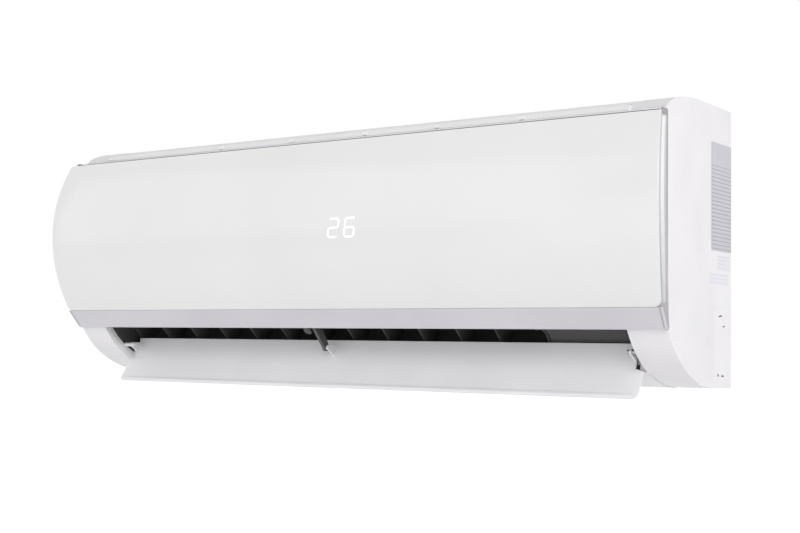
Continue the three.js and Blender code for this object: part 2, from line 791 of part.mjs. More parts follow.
// Front edge of the trim at a height: behind the panel, and clear of its turning top edge.
function trimFront(z) {
  if (z < panelBottom) {
    const share = (z - trimFoot) / (panelBottom - trimFoot);
    return trimLow + (panelSurface(panelBottom) - trimLow) * share;
  }
  const behind = panelSurface(z) + panelWall + trimGap;
  const rolled = [panelTopBack - panelHinge[0], panelTop - panelWall - panelHinge[1]];
  const reach = Math.hypot(...rolled) - running;
  const rise = z - panelHinge[1];
  if (rise < -reach) return behind;
  const clear = panelHinge[0] - Math.sqrt(Math.max(0, reach ** 2 - rise ** 2));
  return Math.max(behind, clear);
}

// Side strip of the trim: one four-cornered ring for each height.
function trimSide(side) {
  const back = -caseDepth - seat;
  const levels = [
    trimFoot, panelBottom - trimGap, ...heights(panelBottom, panelHinge[1] - 9, 10),
    ...heights(panelHinge[1] - 8, panelHinge[1] + 6, 4),
  ];
  const rings = levels.map((z) => {
    const front = trimFront(z);
    const flare = (z - trimFoot) / (panelBottom - trimFoot);
    const fore = z < panelBottom ? caseHalf + flare * (panelHalf - caseHalf) : panelEdge(z) - 1;
    return [
      [caseHalf, back, z],
      [fore, front, z],
      [fore - trimWall, front, z],
      [caseHalf - trimWall, back, z],
    ].map(([x, y, height]) => [side * x, y, height]);
  });
  return loft(side > 0 ? rings : rings.map((ring) => [...ring].reverse()));
}

// A closed body through rings of equally many points, each ring seen clockwise from above.
function loft(rings) {
  const count = rings[0].length;
  const corners = rings.flat();
  const faces = [];
  for (let i = 0; i + 1 < rings.length; i += 1) {
    for (let j = 0; j < count; j += 1) {
      const [a, b] = [i * count + j, i * count + ((j + 1) % count)];
      faces.push(a, a + count, b, b, a + count, b + count);
    }
  }
  const last = (rings.length - 1) * count;
  for (let j = 1; j + 1 < count; j += 1) {
    faces.push(0, j, j + 1, last, last + j + 1, last + j);
  }
  const geometry = new THREE.BufferGeometry();
  const points = new Float32Array(corners.flat());
  geometry.setAttribute("position", new THREE.BufferAttribute(points, 3));
  geometry.setIndex(faces);
  return solid(geometry);
}

function trimFrame() {
  const crest = panelBottom - trimGap;
  const front = trimFront(crest);
  const back = -caseDepth - seat;
  const section = [
    [front, crest],
    [trimLow, trimFoot],
    [back, trimFoot],
    [back, trimFoot + 8],
    [back - 2, trimFoot + 8],
    [back - 2, trimFoot + 4],
    [front + 3.5, crest],
  ];
  const bottom = prism(section, 1 - caseHalf, caseHalf - 1);
  return join(bottom, trimSide(-1), trimSide(1));
}

// Front view of the panel, with its sides drawn in by a margin.
function panelOutline(margin) {
  const [z0, z1] = [panelBottom, panelTop];
  const corner = panelCorner;
  const side = heights(z0 + corner, z1 - corner, 10).map((z) => [panelEdge(z) - margin, z]);
  const [low0, high0] = [panelEdge(z0) - margin, panelEdge(z1) - margin];
  const low = quadratic([low0 - corner, z0], [low0, z0], side[0], 4);
  const high = quadratic(side[10], [high0, z1], [high0 - corner, z1], 4);
  const right = [...low, ...side.slice(1, -1), ...high];
  const left = right.map(([x, z]) => [-x, z]).reverse();
  return [...right, ...left];
}

function frontPanel() {
  const reach = panelHalf + panelBulge + 1;
  const sheet = prism(strip(panelLine, -panelWall), -reach, reach);
  return sheet.intersect(frontal(panelOutline(0), -panelDepth - 10, -caseDepth + 10));
}

function panelBacking() {
  const half = caseHalf - backingMargin;
  const line = heights(panelBottom + 6, rollStart - 2, 12).map((z) => [panelSurface(z), z]);
  const face = offsetPath(line, -panelWall - seat);
  const sheet = prism(strip(face, -backingWall), -half, half);
  const arms = [-1, 1].map((side) => {
    const inner = side * (caseHalf - panelHingeInset - panelArm - running);
    const [x0, x1] = [inner, inner - side * panelArm].sort((p, q) => p - q);
    const hub = arc(panelHinge, panelPinRadius + 1.8, 120, -60, 8);
    const rear = offsetPath(face, -backingWall / 2);
    const plate = prism([rear[12], rear[11], rear[10], ...hub.reverse()], x0, x1);
    const tip = side * (caseHalf - panelHingeInset + 2);
    const pin = bar([inner - side, ...panelHinge], [tip, ...panelHinge], panelPinRadius, 14);
    return join(plate, pin);
  });
  return join(sheet, arms);
}

function displayModule() {
  const [x0, x1] = [displayX - displayWidth / 2, displayX + displayWidth / 2];
  const [z0, z1] = [displayHeight - displayTall / 2, displayHeight + displayTall / 2];
  const rearmost = Math.max(panelSurface(z0), panelSurface(z1));
  const face = rearmost + panelWall + backingWall + 3 * seat;
  const back = face + displayDepth;
  const housing = box(x0, x1, face, back, z0, z1);
  const hollow = box(x0 + 2, x1 - 2, back - 3, back + 3, z0 + 2, z1 - 2);
  const plug = box(displayX - 6, displayX + 6, back - 4, back + 2, z0 + 6, z0 + 14);
  return join(cut(housing, hollow), plug);
}

// Filter path: up in front of the coil, then back over it under the top.
const crestHeight = caseHeight - filterCrest;
const filterFront = [[-filterDepth, filterFoot], [-filterDepth, filterKnee]];
const filterLean = [[5 - filterDepth, filterKnee + 12], [-filterPeak - 14, crestHeight - 8.5]];
const filterTop = [[-filterPeak, crestHeight], [-filterBack, crestHeight + 3.5]];
const filterLine = [
  filterFront[0],
  ...quadratic(filterFront[1], [-filterDepth, filterKnee + 6], filterLean[0], 3),
  ...quadratic(filterLean[1], [-filterPeak - 7, crestHeight - 0.5], filterTop[0], 3),
  filterTop[1],
];

// Windows of the filter's frame along one straight run, in a number of rows.
function filterWindows([from, to], rows, x0, pitch) {
  const length = Math.hypot(to[0] - from[0], to[1] - from[1]);
  const along = direction(from, to);
  const step = (length - filterRib) / rows;
  return Array.from({ length: rows * filterColumns }, (_, i) => {
    const start = filterRib + step * Math.floor(i / filterColumns);
    const span = [start, start + step - filterRib].map((at) => [
      from[0] + along[0] * at, from[1] + along[1] * at,
    ]);
    const opening = strip(offsetPath(span, -filterWall), 3 * filterWall);
    const x = x0 + filterRib + pitch * (i % filterColumns);
    return prism(opening, x, x + pitch - filterRib);
  });
}

function filterPanel(x0, x1) {
  const sheet = prism(strip(filterLine, filterWall), x0, x1);
  const pitch = (x1 - x0 - filterRib) / filterColumns;
  return cut(
    sheet,
    filterWindows(filterFront, 3, x0, pitch),
    filterWindows(filterLean, 2, x0, pitch),
    filterWindows(filterTop, 1, x0, pitch),
  );
}

// Inner faces of the three coil blocks, each from its lower to its upper end.
const coilFrontLower = [[-coilDepth, coilFoot], [-coilDepth, coilKnee]];
const coilFrontUpper = [[1 - coilDepth, coilKnee + 4], [1 - fanDepth, coilPeak]];
const coilRear = [[7 - fanDepth, coilPeak + 1], [-coilRearDepth, coilRearFoot]];
const coilBlocks = [coilFrontLower, coilFrontUpper, coilRear];

function coilBlock(line) {
  const left = ductLeft + 2 * seat + coilPlate;
  const right = ductRight - 2 * seat - coilPlate;
  const [from, to] = line;
  return prism(strip([from, to], coilThickness), left, right);
}

// End plate of the coil with its return bends, on the left (-1) or right (1).
function coilEndPlate(side) {
  const inner = side < 0 ? ductLeft + seat : ductRight - seat - coilPlate;
  const [x0, x1] = [inner, inner + coilPlate];
  const pieces = coilBlocks.map(([from, to]) => {
    const along = direction(from, to);
    const below = from === coilFrontLower[0] ? coilPlateEdge : coilPlateJoin;
    const start = [from[0] - along[0] * below, from[1] - along[1] * below];
    const end = [to[0] + along[0] * coilPlateJoin, to[1] + along[1] * coilPlateJoin];
    return prism(strip([start, end], coilThickness + 0.5), x0, x1);
  });
  const lugFront = coilFrontLower[0][0] - 1;
  const lug = box(x0, x1, lugFront, lugFront + 6, fanHeight - 20, fanHeight + 20);
  const [peakFront, peakBack] = [coilFrontUpper[1][0] - 9, coilRear[0][0] + 9];
  const ridge = box(x0, x1, peakFront, peakBack, coilPeak - 6, coilPeak + 7);
  const face = side < 0 ? x0 + 0.2 : x1 - 0.2;
  const bends = coilBlocks.flatMap((block) => {
    const [from, to] = block;
    const length = Math.hypot(to[0] - from[0], to[1] - from[1]);
    const along = direction(from, to);
    const count = Math.floor((length - 4) / coilPitch);
    const spare = (length - coilPitch * (count - 1)) / 2;
    const places = Array.from({ length: count }, (_, i) => spare + coilPitch * i);
    const ports = side > 0 && block === coilRear ? [liquidPort, gasPort] : [];
    const free = (at) => ports.every(([share]) => Math.abs(share * length - at) > portRoom);
    return places.filter(free).map((at) => {
      const middle = [from[0] + along[0] * at, from[1] + along[1] * at];
      return returnBend(side, face, middle, along);
    });
  });
  return join(pieces, lug, ridge, bends);
}

// Half a hoop of tube joining the two tube rows at one place.
function returnBend(side, face, [y, z], [dy, dz]) {
  const [ny, nz] = [-dz, dy];
  const rows = [0.25 * coilThickness, 0.75 * coilThickness];
  const reach = (rows[1] - rows[0]) / 2;
  const centre = (rows[0] + rows[1]) / 2;
  const points = [-1, -0.98, -0.7, 0, 0.7, 0.98, 1].map((share, i) => {
    const lift = [0, 4, 4 + reach * 0.72, 4 + reach, 4 + reach * 0.72, 4, 0][i];
    const across = centre + share * reach;
    return [face + side * lift, y + ny * across, z + nz * across];
  });
  return hose(points, coilTubeRadius, 6, 6);
}

function drainPan() {
  const roof = prism(strip(ductRoof, -panWall - 0.2), ductLeft + seat, ductRight - seat);
  const back = 0.6 - coilDepth;
  const front = -filterDepth - filterLip;
  const rim = filterFoot - seat;
  const line = [[back, coilFoot - 4], [back, coilFoot - 7], [front, coilFoot - 8], [front, rim]];
  const left = frontPost - caseHalf + seat;
  const right = ductRight + frontReach - seat;
  const trough = prism(strip(line, -panWall), left, right);
  const endLine = [...line, [-coilDepth - 1, rim], [-coilDepth - 1, coilFoot - 4]];
  const ends = [prism(endLine, left, left + panWall), prism(endLine, right - panWall, right)];
  return join(roof, trough, ends);
}

// Spout beside the pan's left end, down inside the cheek and square to the wall.
function drainOutlet() {
  const x = frontPost - caseHalf - drainRadius;
  const mouth = new THREE.Vector3(x, -seat, drainHeight);
  const straight = new THREE.Vector3(x, -36, drainHeight);
  const curve = new THREE.CubicBezierCurve3(
    new THREE.Vector3(x, -155, coilFoot + 3),
    new THREE.Vector3(x, -120, coilFoot - 8),
    new THREE.Vector3(x, -90, drainHeight),
    straight,
  );
  const level = new THREE.Vector3(1, 0, 0);
  const line = [...curve.getPoints(8), new THREE.Vector3(x, -28, drainHeight), mouth];
  const beyond = (end, next) => end.clone().multiplyScalar(2).sub(next);
  const through = [beyond(line[0], line[1]), ...line, beyond(mouth, line[line.length - 2])];
  const tube = sweep(line, drainRadius, 12, level);
  return cut(tube, sweep(through, drainRadius - drainWall, 12, level));
}

function crossflowFan() {
  const left = ductLeft + 5.5;
  const right = ductRight - 6;
  const bay = (right - left - fanDisc) / fanBays;
  const inner = fanRadius - fanBladeDepth;
  const blade = [[inner, 0], [fanRadius - 0.6, 7.5]];
  const outline = strip(blade, 1.3);
  const blades = Array.from({ length: fanBlades }, (_, i) => {
    const geometry = prismGeometry(outline, left + 0.5, right - 0.5);
    return solid(geometry.rotateX((i * 2 * Math.PI) / fanBlades));
  });
  const discs = Array.from({ length: fanBays + 1 }, (_, i) => {
    const x = left + bay * i;
    const hub = i === 0 || i === fanBays ? shaftRadius + seat : inner - 2;
    return turned([[x, hub], [x, fanRadius], [x + fanDisc, fanRadius], [x + fanDisc, hub], [x, hub]]);
  });
  const collars = [left - 0.5, right - 7.5].map((x) =>
    turned([
      [x, shaftRadius + seat], [x, shaftRadius + 5], [x + 8, shaftRadius + 5],
      [x + 8, shaftRadius + seat], [x, shaftRadius + seat],
    ], 16),
  );
  return join(blades, discs, collars);
}

const fanLeftEnd = ductLeft + 5;
const fanRightEnd = ductRight - 5.5;

function shaft(x0, x1) {
  return bar([x0, 0, 0], [x1, 0, 0], shaftRadius, 16);
}

function shaftBearing() {
  const x = ductLeft - ductWall / 2 - bearingWidth / 2;
  const [r0, r1] = [shaftRadius + 0.3, bearingRadius];
  return turned([[x, r0], [x, r1], [x + bearingWidth, r1], [x + bearingWidth, r0], [x, r0]], 16);
}

// Rubber ring with a groove's two flanges either side of the duct's end wall.
function bearingRubber() {
  const [w0, w1] = [ductLeft - ductWall - seat, ductLeft + seat];
  const [r0, r1, flange] = [bearingRadius + seat, rubberRadius, rubberRadius + 3];
  return turned([
    [w0 - 2.5, r0], [w0 - 2.5, flange], [w0, flange], [w0, r1],
    [w1, r1], [w1, flange], [w1 + 1.5, flange], [w1 + 1.5, r0], [w0 - 2.5, r0],
  ], 16);
}

function fanMotor() {
  const x0 = ductRight + ductWall + motorOffset;
  const x1 = x0 + motorLength;
  const step = 6;
  const bore = shaftRadius + seat;
  return turned([
    [x0 - 4, bore], [x0 - 4, 11], [x0, 11], [x0, motorRadius - step], [x0 + step, motorRadius],
    [x1 - step, motorRadius], [x1, motorRadius - step], [x1, 0], [x0 + 22, 0], [x0 + 22, bore],
    [x0 - 4, bore],
  ], 24);
}

function motorClamp() {
  const [x0, x1] = [motorMiddle - clampWidth / 2, motorMiddle + clampWidth / 2];
  const lift = THREE.MathUtils.radToDeg(seat / motorRadius);
  const inside = arcAround([0, 0], motorRadius + seat, 180 - lift, lift, 12);
  const outside = arc([0, 0], motorRadius + seat + clampWall, lift, 180 - lift, 12);
  const band = prism([...inside, ...outside], x0, x1);
  const foot = motorRadius + seat;
  const feet = [
    prism([[-foot - 5, seat], [-foot, seat], [-foot, 5], [-foot - 5, 5]], x0, x1),
    prism([[foot, seat], [foot + 9, seat], [foot + 9, 4], [foot, 4]], x0, x1),
  ];
  return join(band, feet);
}

// Dark scoop that closes the outlet in front of the motor bay.
function outletBlank() {
  const scoop = arc(louverAxis, louverScoop + 1, 112, -38, 7);
  const line = [[roofEnd[0] + 0.5, roofEnd[1] - 3], ...scoop, [lip[0] + 3.4, lip[1] + 3.6]];
  return prism(strip(line, 1.8), ductRight + ductWall + seat, cheekInner - seat);
}

// The louver in its own frame, pivot at the origin, standing open as in use.
function louver() {
  const [tip, crown] = [louverTip, louverCrown];
  const bow = [0, 1].map((i) => (tip[i] + crown[i]) / 2 + 2 * louverBow[i]);
  const line = quadratic(tip, bow, crown, 8);
  const blade = strip(line.slice(1), -louverWall);
  const section = [[tip[0] + 3.6, tip[1] - 1], [tip[0] - 0.6, tip[1] - 0.6], ...blade];
  const sheet = prism(section, -louverHalf, louverHalf);
  const earX = louverHalf - louverStep;
  const notches = [-1, 1].map((side) => {
    const [x0, x1] = [side * earX, side * (louverHalf + 5)].sort((p, q) => p - q);
    return box(x0, x1, -30, 30, louverStepHeight, 30);
  });
  const places = [-earX, earX - louverEar, supportX + 2 + running];
  const core = offsetPath(line, -louverWall / 2);
  const ears = places.map((x) => {
    const hub = arc([0, 0], louverHub, 100, 260, 8);
    return prism([...hub, ...core.slice(4, 8)], x, x + louverEar);
  });
  const bores = [places[0], places[1]].map((x) =>
    bar([x - 1, 0, 0], [x + louverEar + 1, 0, 0], louverPinRadius + seat, 16),
  );
  const clipPin = bar([supportX - 3.5, 0, 0], [supportX + 4, 0, 0], clipPinRadius, 14);
  return join(cut(join(cut(sheet, notches), ears), bores), clipPin);
}

function louverPin() {
  const shoulder = -cheekInner - caseWall - seat;
  const head = bar([shoulder - 2, 0, 0], [shoulder, 0, 0], louverPinRadius * 2);
  const end = louverStep - louverHalf + 3.5;
  return join(head, bar([shoulder - 1, 0, 0], [end, 0, 0], louverPinRadius));
}

function louverShaft() {
  return bar(
    [louverHalf - louverStep - 3.5, 0, 0], [cheekInner + caseWall + 2, 0, 0], louverPinRadius,
  );
}

// Small stepping motor; its shaft stands off centre in the can.
function louverMotor() {
  const canRadius = 14;
  const shaftOffset = 8;
  const x0 = cheekInner + caseWall + seat;
  const x1 = x0 + 19;
  const rise = THREE.MathUtils.degToRad(57);
  const centre = [shaftOffset * Math.cos(rise), shaftOffset * Math.sin(rise)];
  const can = bar([x0, ...centre], [x1, ...centre], canRadius, 24);
  const hollow = bar([x0 - 1, 0, 0], [x0 + 4, 0, 0], louverPinRadius + seat);
  const tabs = [-1, 1].map((side) => {
    const turn = rise + (side * Math.PI) / 2;
    const at = [centre[0] + 16 * Math.cos(turn), centre[1] + 16 * Math.sin(turn)];
    return bar([x0, ...at], [x0 + 1.2, ...at], 3.6, 10);
  });
  const socket = box(x0 + 4, x1 - 2, centre[0] - 8, centre[0] + 8, centre[1] + 8, centre[1] + 17);
  return cut(join(can, tabs, socket), hollow);
}

// Post from the duct's roof that carries the louver's middle pin.
function louverSupport() {
  const [dy, dz] = direction(roofFoot, roofEnd);
  const length = Math.hypot(roofEnd[0] - roofFoot[0], roofEnd[1] - roofFoot[1]);
  const lift = seat + 0.2;
  const onRoof = (share) => [
    roofFoot[0] + dy * length * share - dz * lift,
    roofFoot[1] + dz * length * share + dy * lift,
  ];
  const hub = arc(louverAxis, 4.6, 190, 380, 8);
  const post = prism([onRoof(0.12), onRoof(0.95), ...hub], supportX - 2, supportX + 2);
  const bore = clipPinRadius + seat;
  const hole = bar([supportX - 5, ...louverAxis], [supportX + 5, ...louverAxis], bore, 14);
  return cut(post, hole);
}

// One vane in the duct's frame; the knob is on the vane that leads the left group.
function vane(withKnob) {
  const plate = prism(
    [
      [-4, 3], [-4, vaneHeight - 14], [-7, vaneHeight - 6], [-7, vaneHeight],
      [vaneRear, vaneHeight], [vaneRear + 5, vaneHeight - 14], [30, 28], [30, 10], [22, 3],
    ],
    -vaneThickness / 2, vaneThickness / 2,
  );
  const root = bar([0, 0, -ductWall], [0, 0, 6], vanePinRadius, 10);
  const crankEnd = vaneHeight + linkThickness + 2.2;
  const crank = bar([0, vaneCrank, vaneHeight - 4], [0, vaneCrank, crankEnd], linkPinRadius, 10);
  const body = join(plate, root, crank);
  if (!withKnob) return body;
  const [low, high] = [knobHeight - 2, knobHeight + 2];
  const tab = box(-vaneThickness / 2, vaneThickness / 2, -13, -3, low, high);
  const knob = bar([0, -14.5, knobHeight], [0, -12, knobHeight], knobRadius, 16);
  return join(body, tab, knob);
}

// Slotted bar that turns a group of vanes together.
function vaneLink(first, last) {
  const z0 = vaneHeight + seat + 0.2;
  const link = box(
    vaneX(first) - 6, vaneX(last) + 6,
    vaneCrank - linkWidth / 2, vaneCrank + linkWidth / 2, z0, z0 + linkThickness,
  );
  const slots = [];
  for (let index = first; index <= last; index += 1) {
    const half = linkPinRadius + 0.35;
    slots.push(
      box(
        vaneX(index) - half, vaneX(index) + half, vaneCrank - half - 1.6, vaneCrank + half + 0.6,
        z0 - 1, z0 + linkThickness + 1,
      ),
    );
  }
  return cut(link, slots);
}

function controlBox() {
  const outer = box(boxLeft, boxRight, -boxFront, -boxBack, boxBottom, boxTop);
  const inner = box(
    boxLeft + boxWall, boxRight - boxWall, -boxFront - 5, -boxBack - boxWall,
    boxBottom + boxWall, boxTop - boxWall,
  );
  const feet = [boxBottom + 20, boxTop - 30].map((z) =>
    box(boxLeft + 20, boxRight - 20, -boxBack - 1, -plateWall - ductWall - 2 * seat, z, z + 8),
  );
  return join(cut(outer, inner), feet);
}

function controlCover() {
  const y1 = -boxFront - seat;
  const lid = box(boxLeft, boxRight, y1 - boxWall, y1, boxBottom, boxTop);
  const ribs = [0.3, 0.5, 0.7].map((share) => {
    const z = boxBottom + (boxTop - boxBottom) * share;
    return box(boxLeft + 8, boxRight - 8, y1 - boxWall - 1.2, y1 - 1, z + 8, z + 11);
  });
  return join(lid, ribs);
}

function circuitBoard() {
  const y1 = -boxBack - boxWall - 6;
  const [x0, x1] = [boxLeft + boxWall + 2, boxRight - boxWall - 2];
  const [z0, z1] = [boxBottom + boxWall + 4, boxTop - boxWall - 4];
  const board = box(x0, x1, y1 - boardWall, y1, z0, z1);
  const front = y1 - boardWall + 0.5;
  const chokes = [
    box(x0 + 6, x0 + 36, front - 26, front, z0 + 8, z0 + 34),
    box(x0 + 6, x0 + 24, front - 16, front, z0 + 44, z0 + 60),
    box(x0 + 32, x0 + 50, front - 16, front, z0 + 44, z0 + 60),
    box(x0 + 10, x0 + 44, front - 4, front, z0 + 100, z0 + 116),
  ];
  const capacitor = bar([x0 + 46, front, z0 + 80], [x0 + 46, front - 28, z0 + 80], 9, 16);
  const studs = [[x0 + 4, z0 + 4], [x1 - 4, z0 + 4], [x0 + 4, z1 - 4], [x1 - 4, z1 - 4]].map(
    ([x, z]) => bar([x, y1 - 0.5, z], [x, -boxBack - boxWall - seat, z], 2.4, 8),
  );
  return join(board, chokes, capacitor, studs);
}

function terminalBlock() {
  const back = -boxFront - 2 * seat - boxWall;
  const [x0, x1] = [boxLeft + 4, boxRight - 14];
  const z0 = boxBottom + 6;
  const base = box(x0, x1, back - 14, back, z0, z0 + 22);
  const pitch = (x1 - x0 - 2) / 5;
  const cells = Array.from({ length: 5 }, (_, i) =>
    box(x0 + 2 + pitch * i, x0 + pitch * (i + 1), back - 20, back - 6, z0 + 3, z0 + 19),
  );
  return cut(base, cells);
}

function wiringCover() {
  const y1 = -caseDepth - seat;
  const lid = box(coverLeft, coverRight, y1 - coverWall, y1, coverBottom, coverTop);
  const rim = coverLap + seat;
  const step = box(
    coverLeft + rim, coverRight - rim, y1 - 1, y1 + 2, coverBottom + rim, coverTop - rim,
  );
  const grip = box(
    coverRight - 28, coverRight - 12, y1 - coverWall - 1, y1 - coverWall + 1,
    coverBottom + 50, coverBottom + 62,
  );
  return cut(join(lid, step), grip);
}

// Push button in the front frame, its flange behind the frame.
function emergencyButton() {
  const at = (y) => [buttonX, y, buttonHeight];
  const front = -caseDepth - buttonStand;
  const cap = bar(at(front), at(front + buttonLength), buttonRadius);
  const behind = caseWall - caseDepth + seat;
  const flange = bar(at(behind), at(behind + 1.4), buttonRadius + 1.6);
  return join(cap, flange);
}

// Switch board behind the push button, held to the front frame by two posts.
function switchBoard() {
  const y0 = buttonLength - buttonStand - caseDepth + 2.6;
  const [z0, z1] = [buttonHeight - 11, buttonHeight + 11];
  const sheet = box(buttonX - 16, buttonX + 16, y0, y0 + boardWall, z0, z1);
  const frame = caseWall - caseDepth + seat;
  const posts = [buttonX - 12.5, buttonX + 12.5].map((x) =>
    bar([x, frame, buttonHeight], [x, y0 + 1, buttonHeight], 2.5, 10),
  );
  const key = box(buttonX - 3, buttonX + 3, y0 - 0.9, y0 + 0.5, buttonHeight - 3, buttonHeight + 3);
  return join(sheet, posts, key);
}

// From the coil's right end plate down the motor bay, then left along the pipe channel.
function pipe(radius, height, [share, depth], reach) {
  const drop = ductRight + reach;
  const [from, to] = coilRear;
  const [dy, dz] = direction(from, to);
  const port = [
    from[0] + share * (to[0] - from[0]) - dz * depth,
    from[1] + share * (to[1] - from[1]) + dy * depth,
  ];
  const [a, b, c, d] = [
    [ductRight, ...port],
    [drop, ...port],
    [drop, -pipeDepth, height],
    [pipeEnd + nutLength, -pipeDepth, height],
  ].map((p) => new THREE.Vector3(...p));
  const toward = (from, to, distance) => from.clone().lerp(to, distance / from.distanceTo(to));
  const elbow = (from, corner, to, size, steps) => {
    const [start, end] = [toward(corner, from, size), toward(corner, to, size)];
    return new THREE.QuadraticBezierCurve3(start, corner, end).getPoints(steps);
  };
  const route = [a, ...elbow(a, b, c, pipeElbow, 5), ...elbow(b, c, d, pipeBend, 6), d];
  return sweep(route, radius, 8, new THREE.Vector3(0, 1, 0));
}

// A many-sided tube whose rings stand square to a route of points that never runs along the level.
function sweep(route, radius, sides, level) {
  const rings = route.map((point, i) => {
    const before = route[Math.max(i - 1, 0)];
    const after = route[Math.min(i + 1, route.length - 1)];
    const ahead = after.clone().sub(before).normalize();
    const side = level.clone().cross(ahead).normalize();
    const up = ahead.clone().cross(side);
    return Array.from({ length: sides }, (_, j) => {
      const turn = (-2 * Math.PI * j) / sides;
      const spoke = side.clone().multiplyScalar(Math.cos(turn) * radius);
      spoke.addScaledVector(up, Math.sin(turn) * radius);
      return point.clone().add(spoke).toArray();
    });
  });
  return loft(rings);
}

// A bar along the pipe channel at a height.
function channelBar(x0, x1, height, radius, sides) {
  return bar([x0, -pipeDepth, height], [x1, -pipeDepth, height], radius, sides);
}

// Flare nut closed by its shipping cap.
function flareNut(across, height, bore) {
  const radius = across / Math.sqrt(3);
  const start = pipeEnd + nutLength + nutSocket;
  const nut = channelBar(start, pipeEnd, height, radius, 6);
  const cap = channelBar(pipeEnd + 1, pipeEnd - capLength, height, radius * 0.72, 16);
  const hole = channelBar(start + 1, pipeEnd + nutLength - seat, height, bore, 16);
  return cut(join(nut, cap), hole);
}

function pipeSleeve() {
  const [x0, x1] = [pipeEnd + nutLength + nutSocket + 6, ductRight - 10];
  const outer = channelBar(x0, x1, gasHeight, gasRadius + sleeveWall, 14);
  return cut(outer, channelBar(x0 - 1, x1 + 1, gasHeight, gasRadius + seat, 14));
}

function sideLabel() {
  const x0 = caseHalf + 0.2;
  const bottom = labelTop - labelHeight;
  return box(x0, x0 + labelWall, -labelWidth - 1, -1, bottom, labelTop);
}

// ---------------------------------------------------------------- assembly

const unit = new THREE.Group();
const model = new THREE.Group();
model.position.z = -caseHeight / 2;
unit.add(model);
const fanFrame = new THREE.Group();
fanFrame.position.set(0, ...fanAxis);
const louverFrame = new THREE.Group();
louverFrame.position.set(0, ...louverAxis);
model.add(fanFrame, louverFrame, ductFrame);

function place(group, name, body, material) {
  const mesh = new THREE.Mesh(geometryOf(body), material);
  mesh.name = name;
  group.add(mesh);
}

place(model, "wall_plate", wallPlate(), zincSteel());
place(model, "rear_chassis", rearChassis(), darkPlastic());
place(model, "pipe_channel", pipeChannel(), darkPlastic());
place(model, "front_casing", frontCasing(), whitePlastic());
place(model, "top_intake_grille", topGrille(), whitePlastic());
place(model, "trim_frame", trimFrame(), silverTrim());
place(model, "front_panel", frontPanel(), glossWhite());
place(model, "panel_backing", panelBacking(), whitePlastic());
place(model, "display_module", displayModule(), darkPlastic());
const filterLeft = filterPanel(frontPost - caseHalf + running, filterSplit - 1);
const filterRight = filterPanel(filterSplit + 1, ductRight + filterReach);
place(model, "filter_left", filterLeft, whitePlastic());
place(model, "filter_right", filterRight, whitePlastic());
place(model, "coil_front_lower", coilBlock(coilFrontLower), aluminium());
place(model, "coil_front_upper", coilBlock(coilFrontUpper), aluminium());
place(model, "coil_rear", coilBlock(coilRear), aluminium());
place(model, "coil_end_plate_left", coilEndPlate(-1), copper());
place(model, "coil_end_plate_right", coilEndPlate(1), copper());
place(model, "drain_pan", drainPan(), darkPlastic());
place(model, "drain_outlet", drainOutlet(), whitePlastic());
place(model, "outlet_blank", outletBlank(), greyPlastic());
const liquidPipe = pipe(liquidRadius, liquidHeight, liquidPort, liquidReach);
place(model, "liquid_pipe", liquidPipe, copper());
place(model, "gas_pipe", pipe(gasRadius, gasHeight, gasPort, gasReach), copper());
const liquidNut = flareNut(liquidNutAcross, liquidHeight, liquidRadius + seat);
place(model, "liquid_flare_nut", liquidNut, brass());
place(model, "gas_flare_nut", flareNut(gasNutAcross, gasHeight, gasRadius + seat), brass());
place(model, "gas_pipe_sleeve", pipeSleeve(), foam());

place(fanFrame, "crossflow_fan", crossflowFan(), darkPlastic());
place(fanFrame, "fan_end_shaft", shaft(ductLeft - ductWall - 3, fanLeftEnd + 6), zincSteel());
place(
  fanFrame, "motor_shaft",
  shaft(fanRightEnd - 6, ductRight + ductWall + motorOffset + 21), zincSteel(),
);
place(fanFrame, "shaft_bearing", shaftBearing(), zincSteel());
place(fanFrame, "bearing_rubber", bearingRubber(), rubber());
place(fanFrame, "fan_motor", fanMotor(), zincSteel());
place(fanFrame, "motor_clamp", motorClamp(), darkPlastic());

place(louverFrame, "louver", louver(), whitePlastic());
place(louverFrame, "louver_pin_left", louverPin(), whitePlastic());
place(louverFrame, "louver_drive_shaft", louverShaft(), zincSteel());
place(louverFrame, "louver_motor", louverMotor(), zincSteel());
place(model, "louver_support", louverSupport(), greyPlastic());

for (let index = 0; index < vaneCount; index += 1) {
  const body = vane(index === vaneLeftGroup - 1);
  const mesh = new THREE.Mesh(geometryOf(body), darkPlastic());
  mesh.name = `vane_${index + 1}`;
  mesh.position.x = vaneX(index);
  ductFrame.add(mesh);
}
place(ductFrame, "vane_link_left", vaneLink(0, vaneLeftGroup - 1), darkPlastic());
place(ductFrame, "vane_link_right", vaneLink(vaneLeftGroup, vaneCount - 1), darkPlastic());

place(model, "control_box", controlBox(), whitePlastic());
place(model, "control_box_cover", controlCover(), zincSteel());
place(model, "circuit_board", circuitBoard(), boardGreen());
place(model, "terminal_block", terminalBlock(), greyPlastic());
place(model, "wiring_cover", wiringCover(), whitePlastic());
place(model, "emergency_button", emergencyButton(), greyPlastic());
place(model, "switch_board", switchBoard(), boardGreen());
place(model, "knockout_cover", knockoutCover(), whitePlastic());
place(model, "side_label", sideLabel(), finish(0xb9bcc0, 0.5));
place(model, "casing_screw_left", casingScrew(-screwSpread), zincSteel());
place(model, "casing_screw_right", casingScrew(screwSpread), zincSteel());

export default unit;
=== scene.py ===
"""Looks of a mini split indoor unit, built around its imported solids.

Shapes are written in millimetres in the part's own frame: X to the right seen from the front,
Y from the front (negative) to the wall (0), and Z from the underside of the casing.
"""

import json
import math

import bmesh
import bpy
import numpy as np
from mathutils import Matrix, Vector

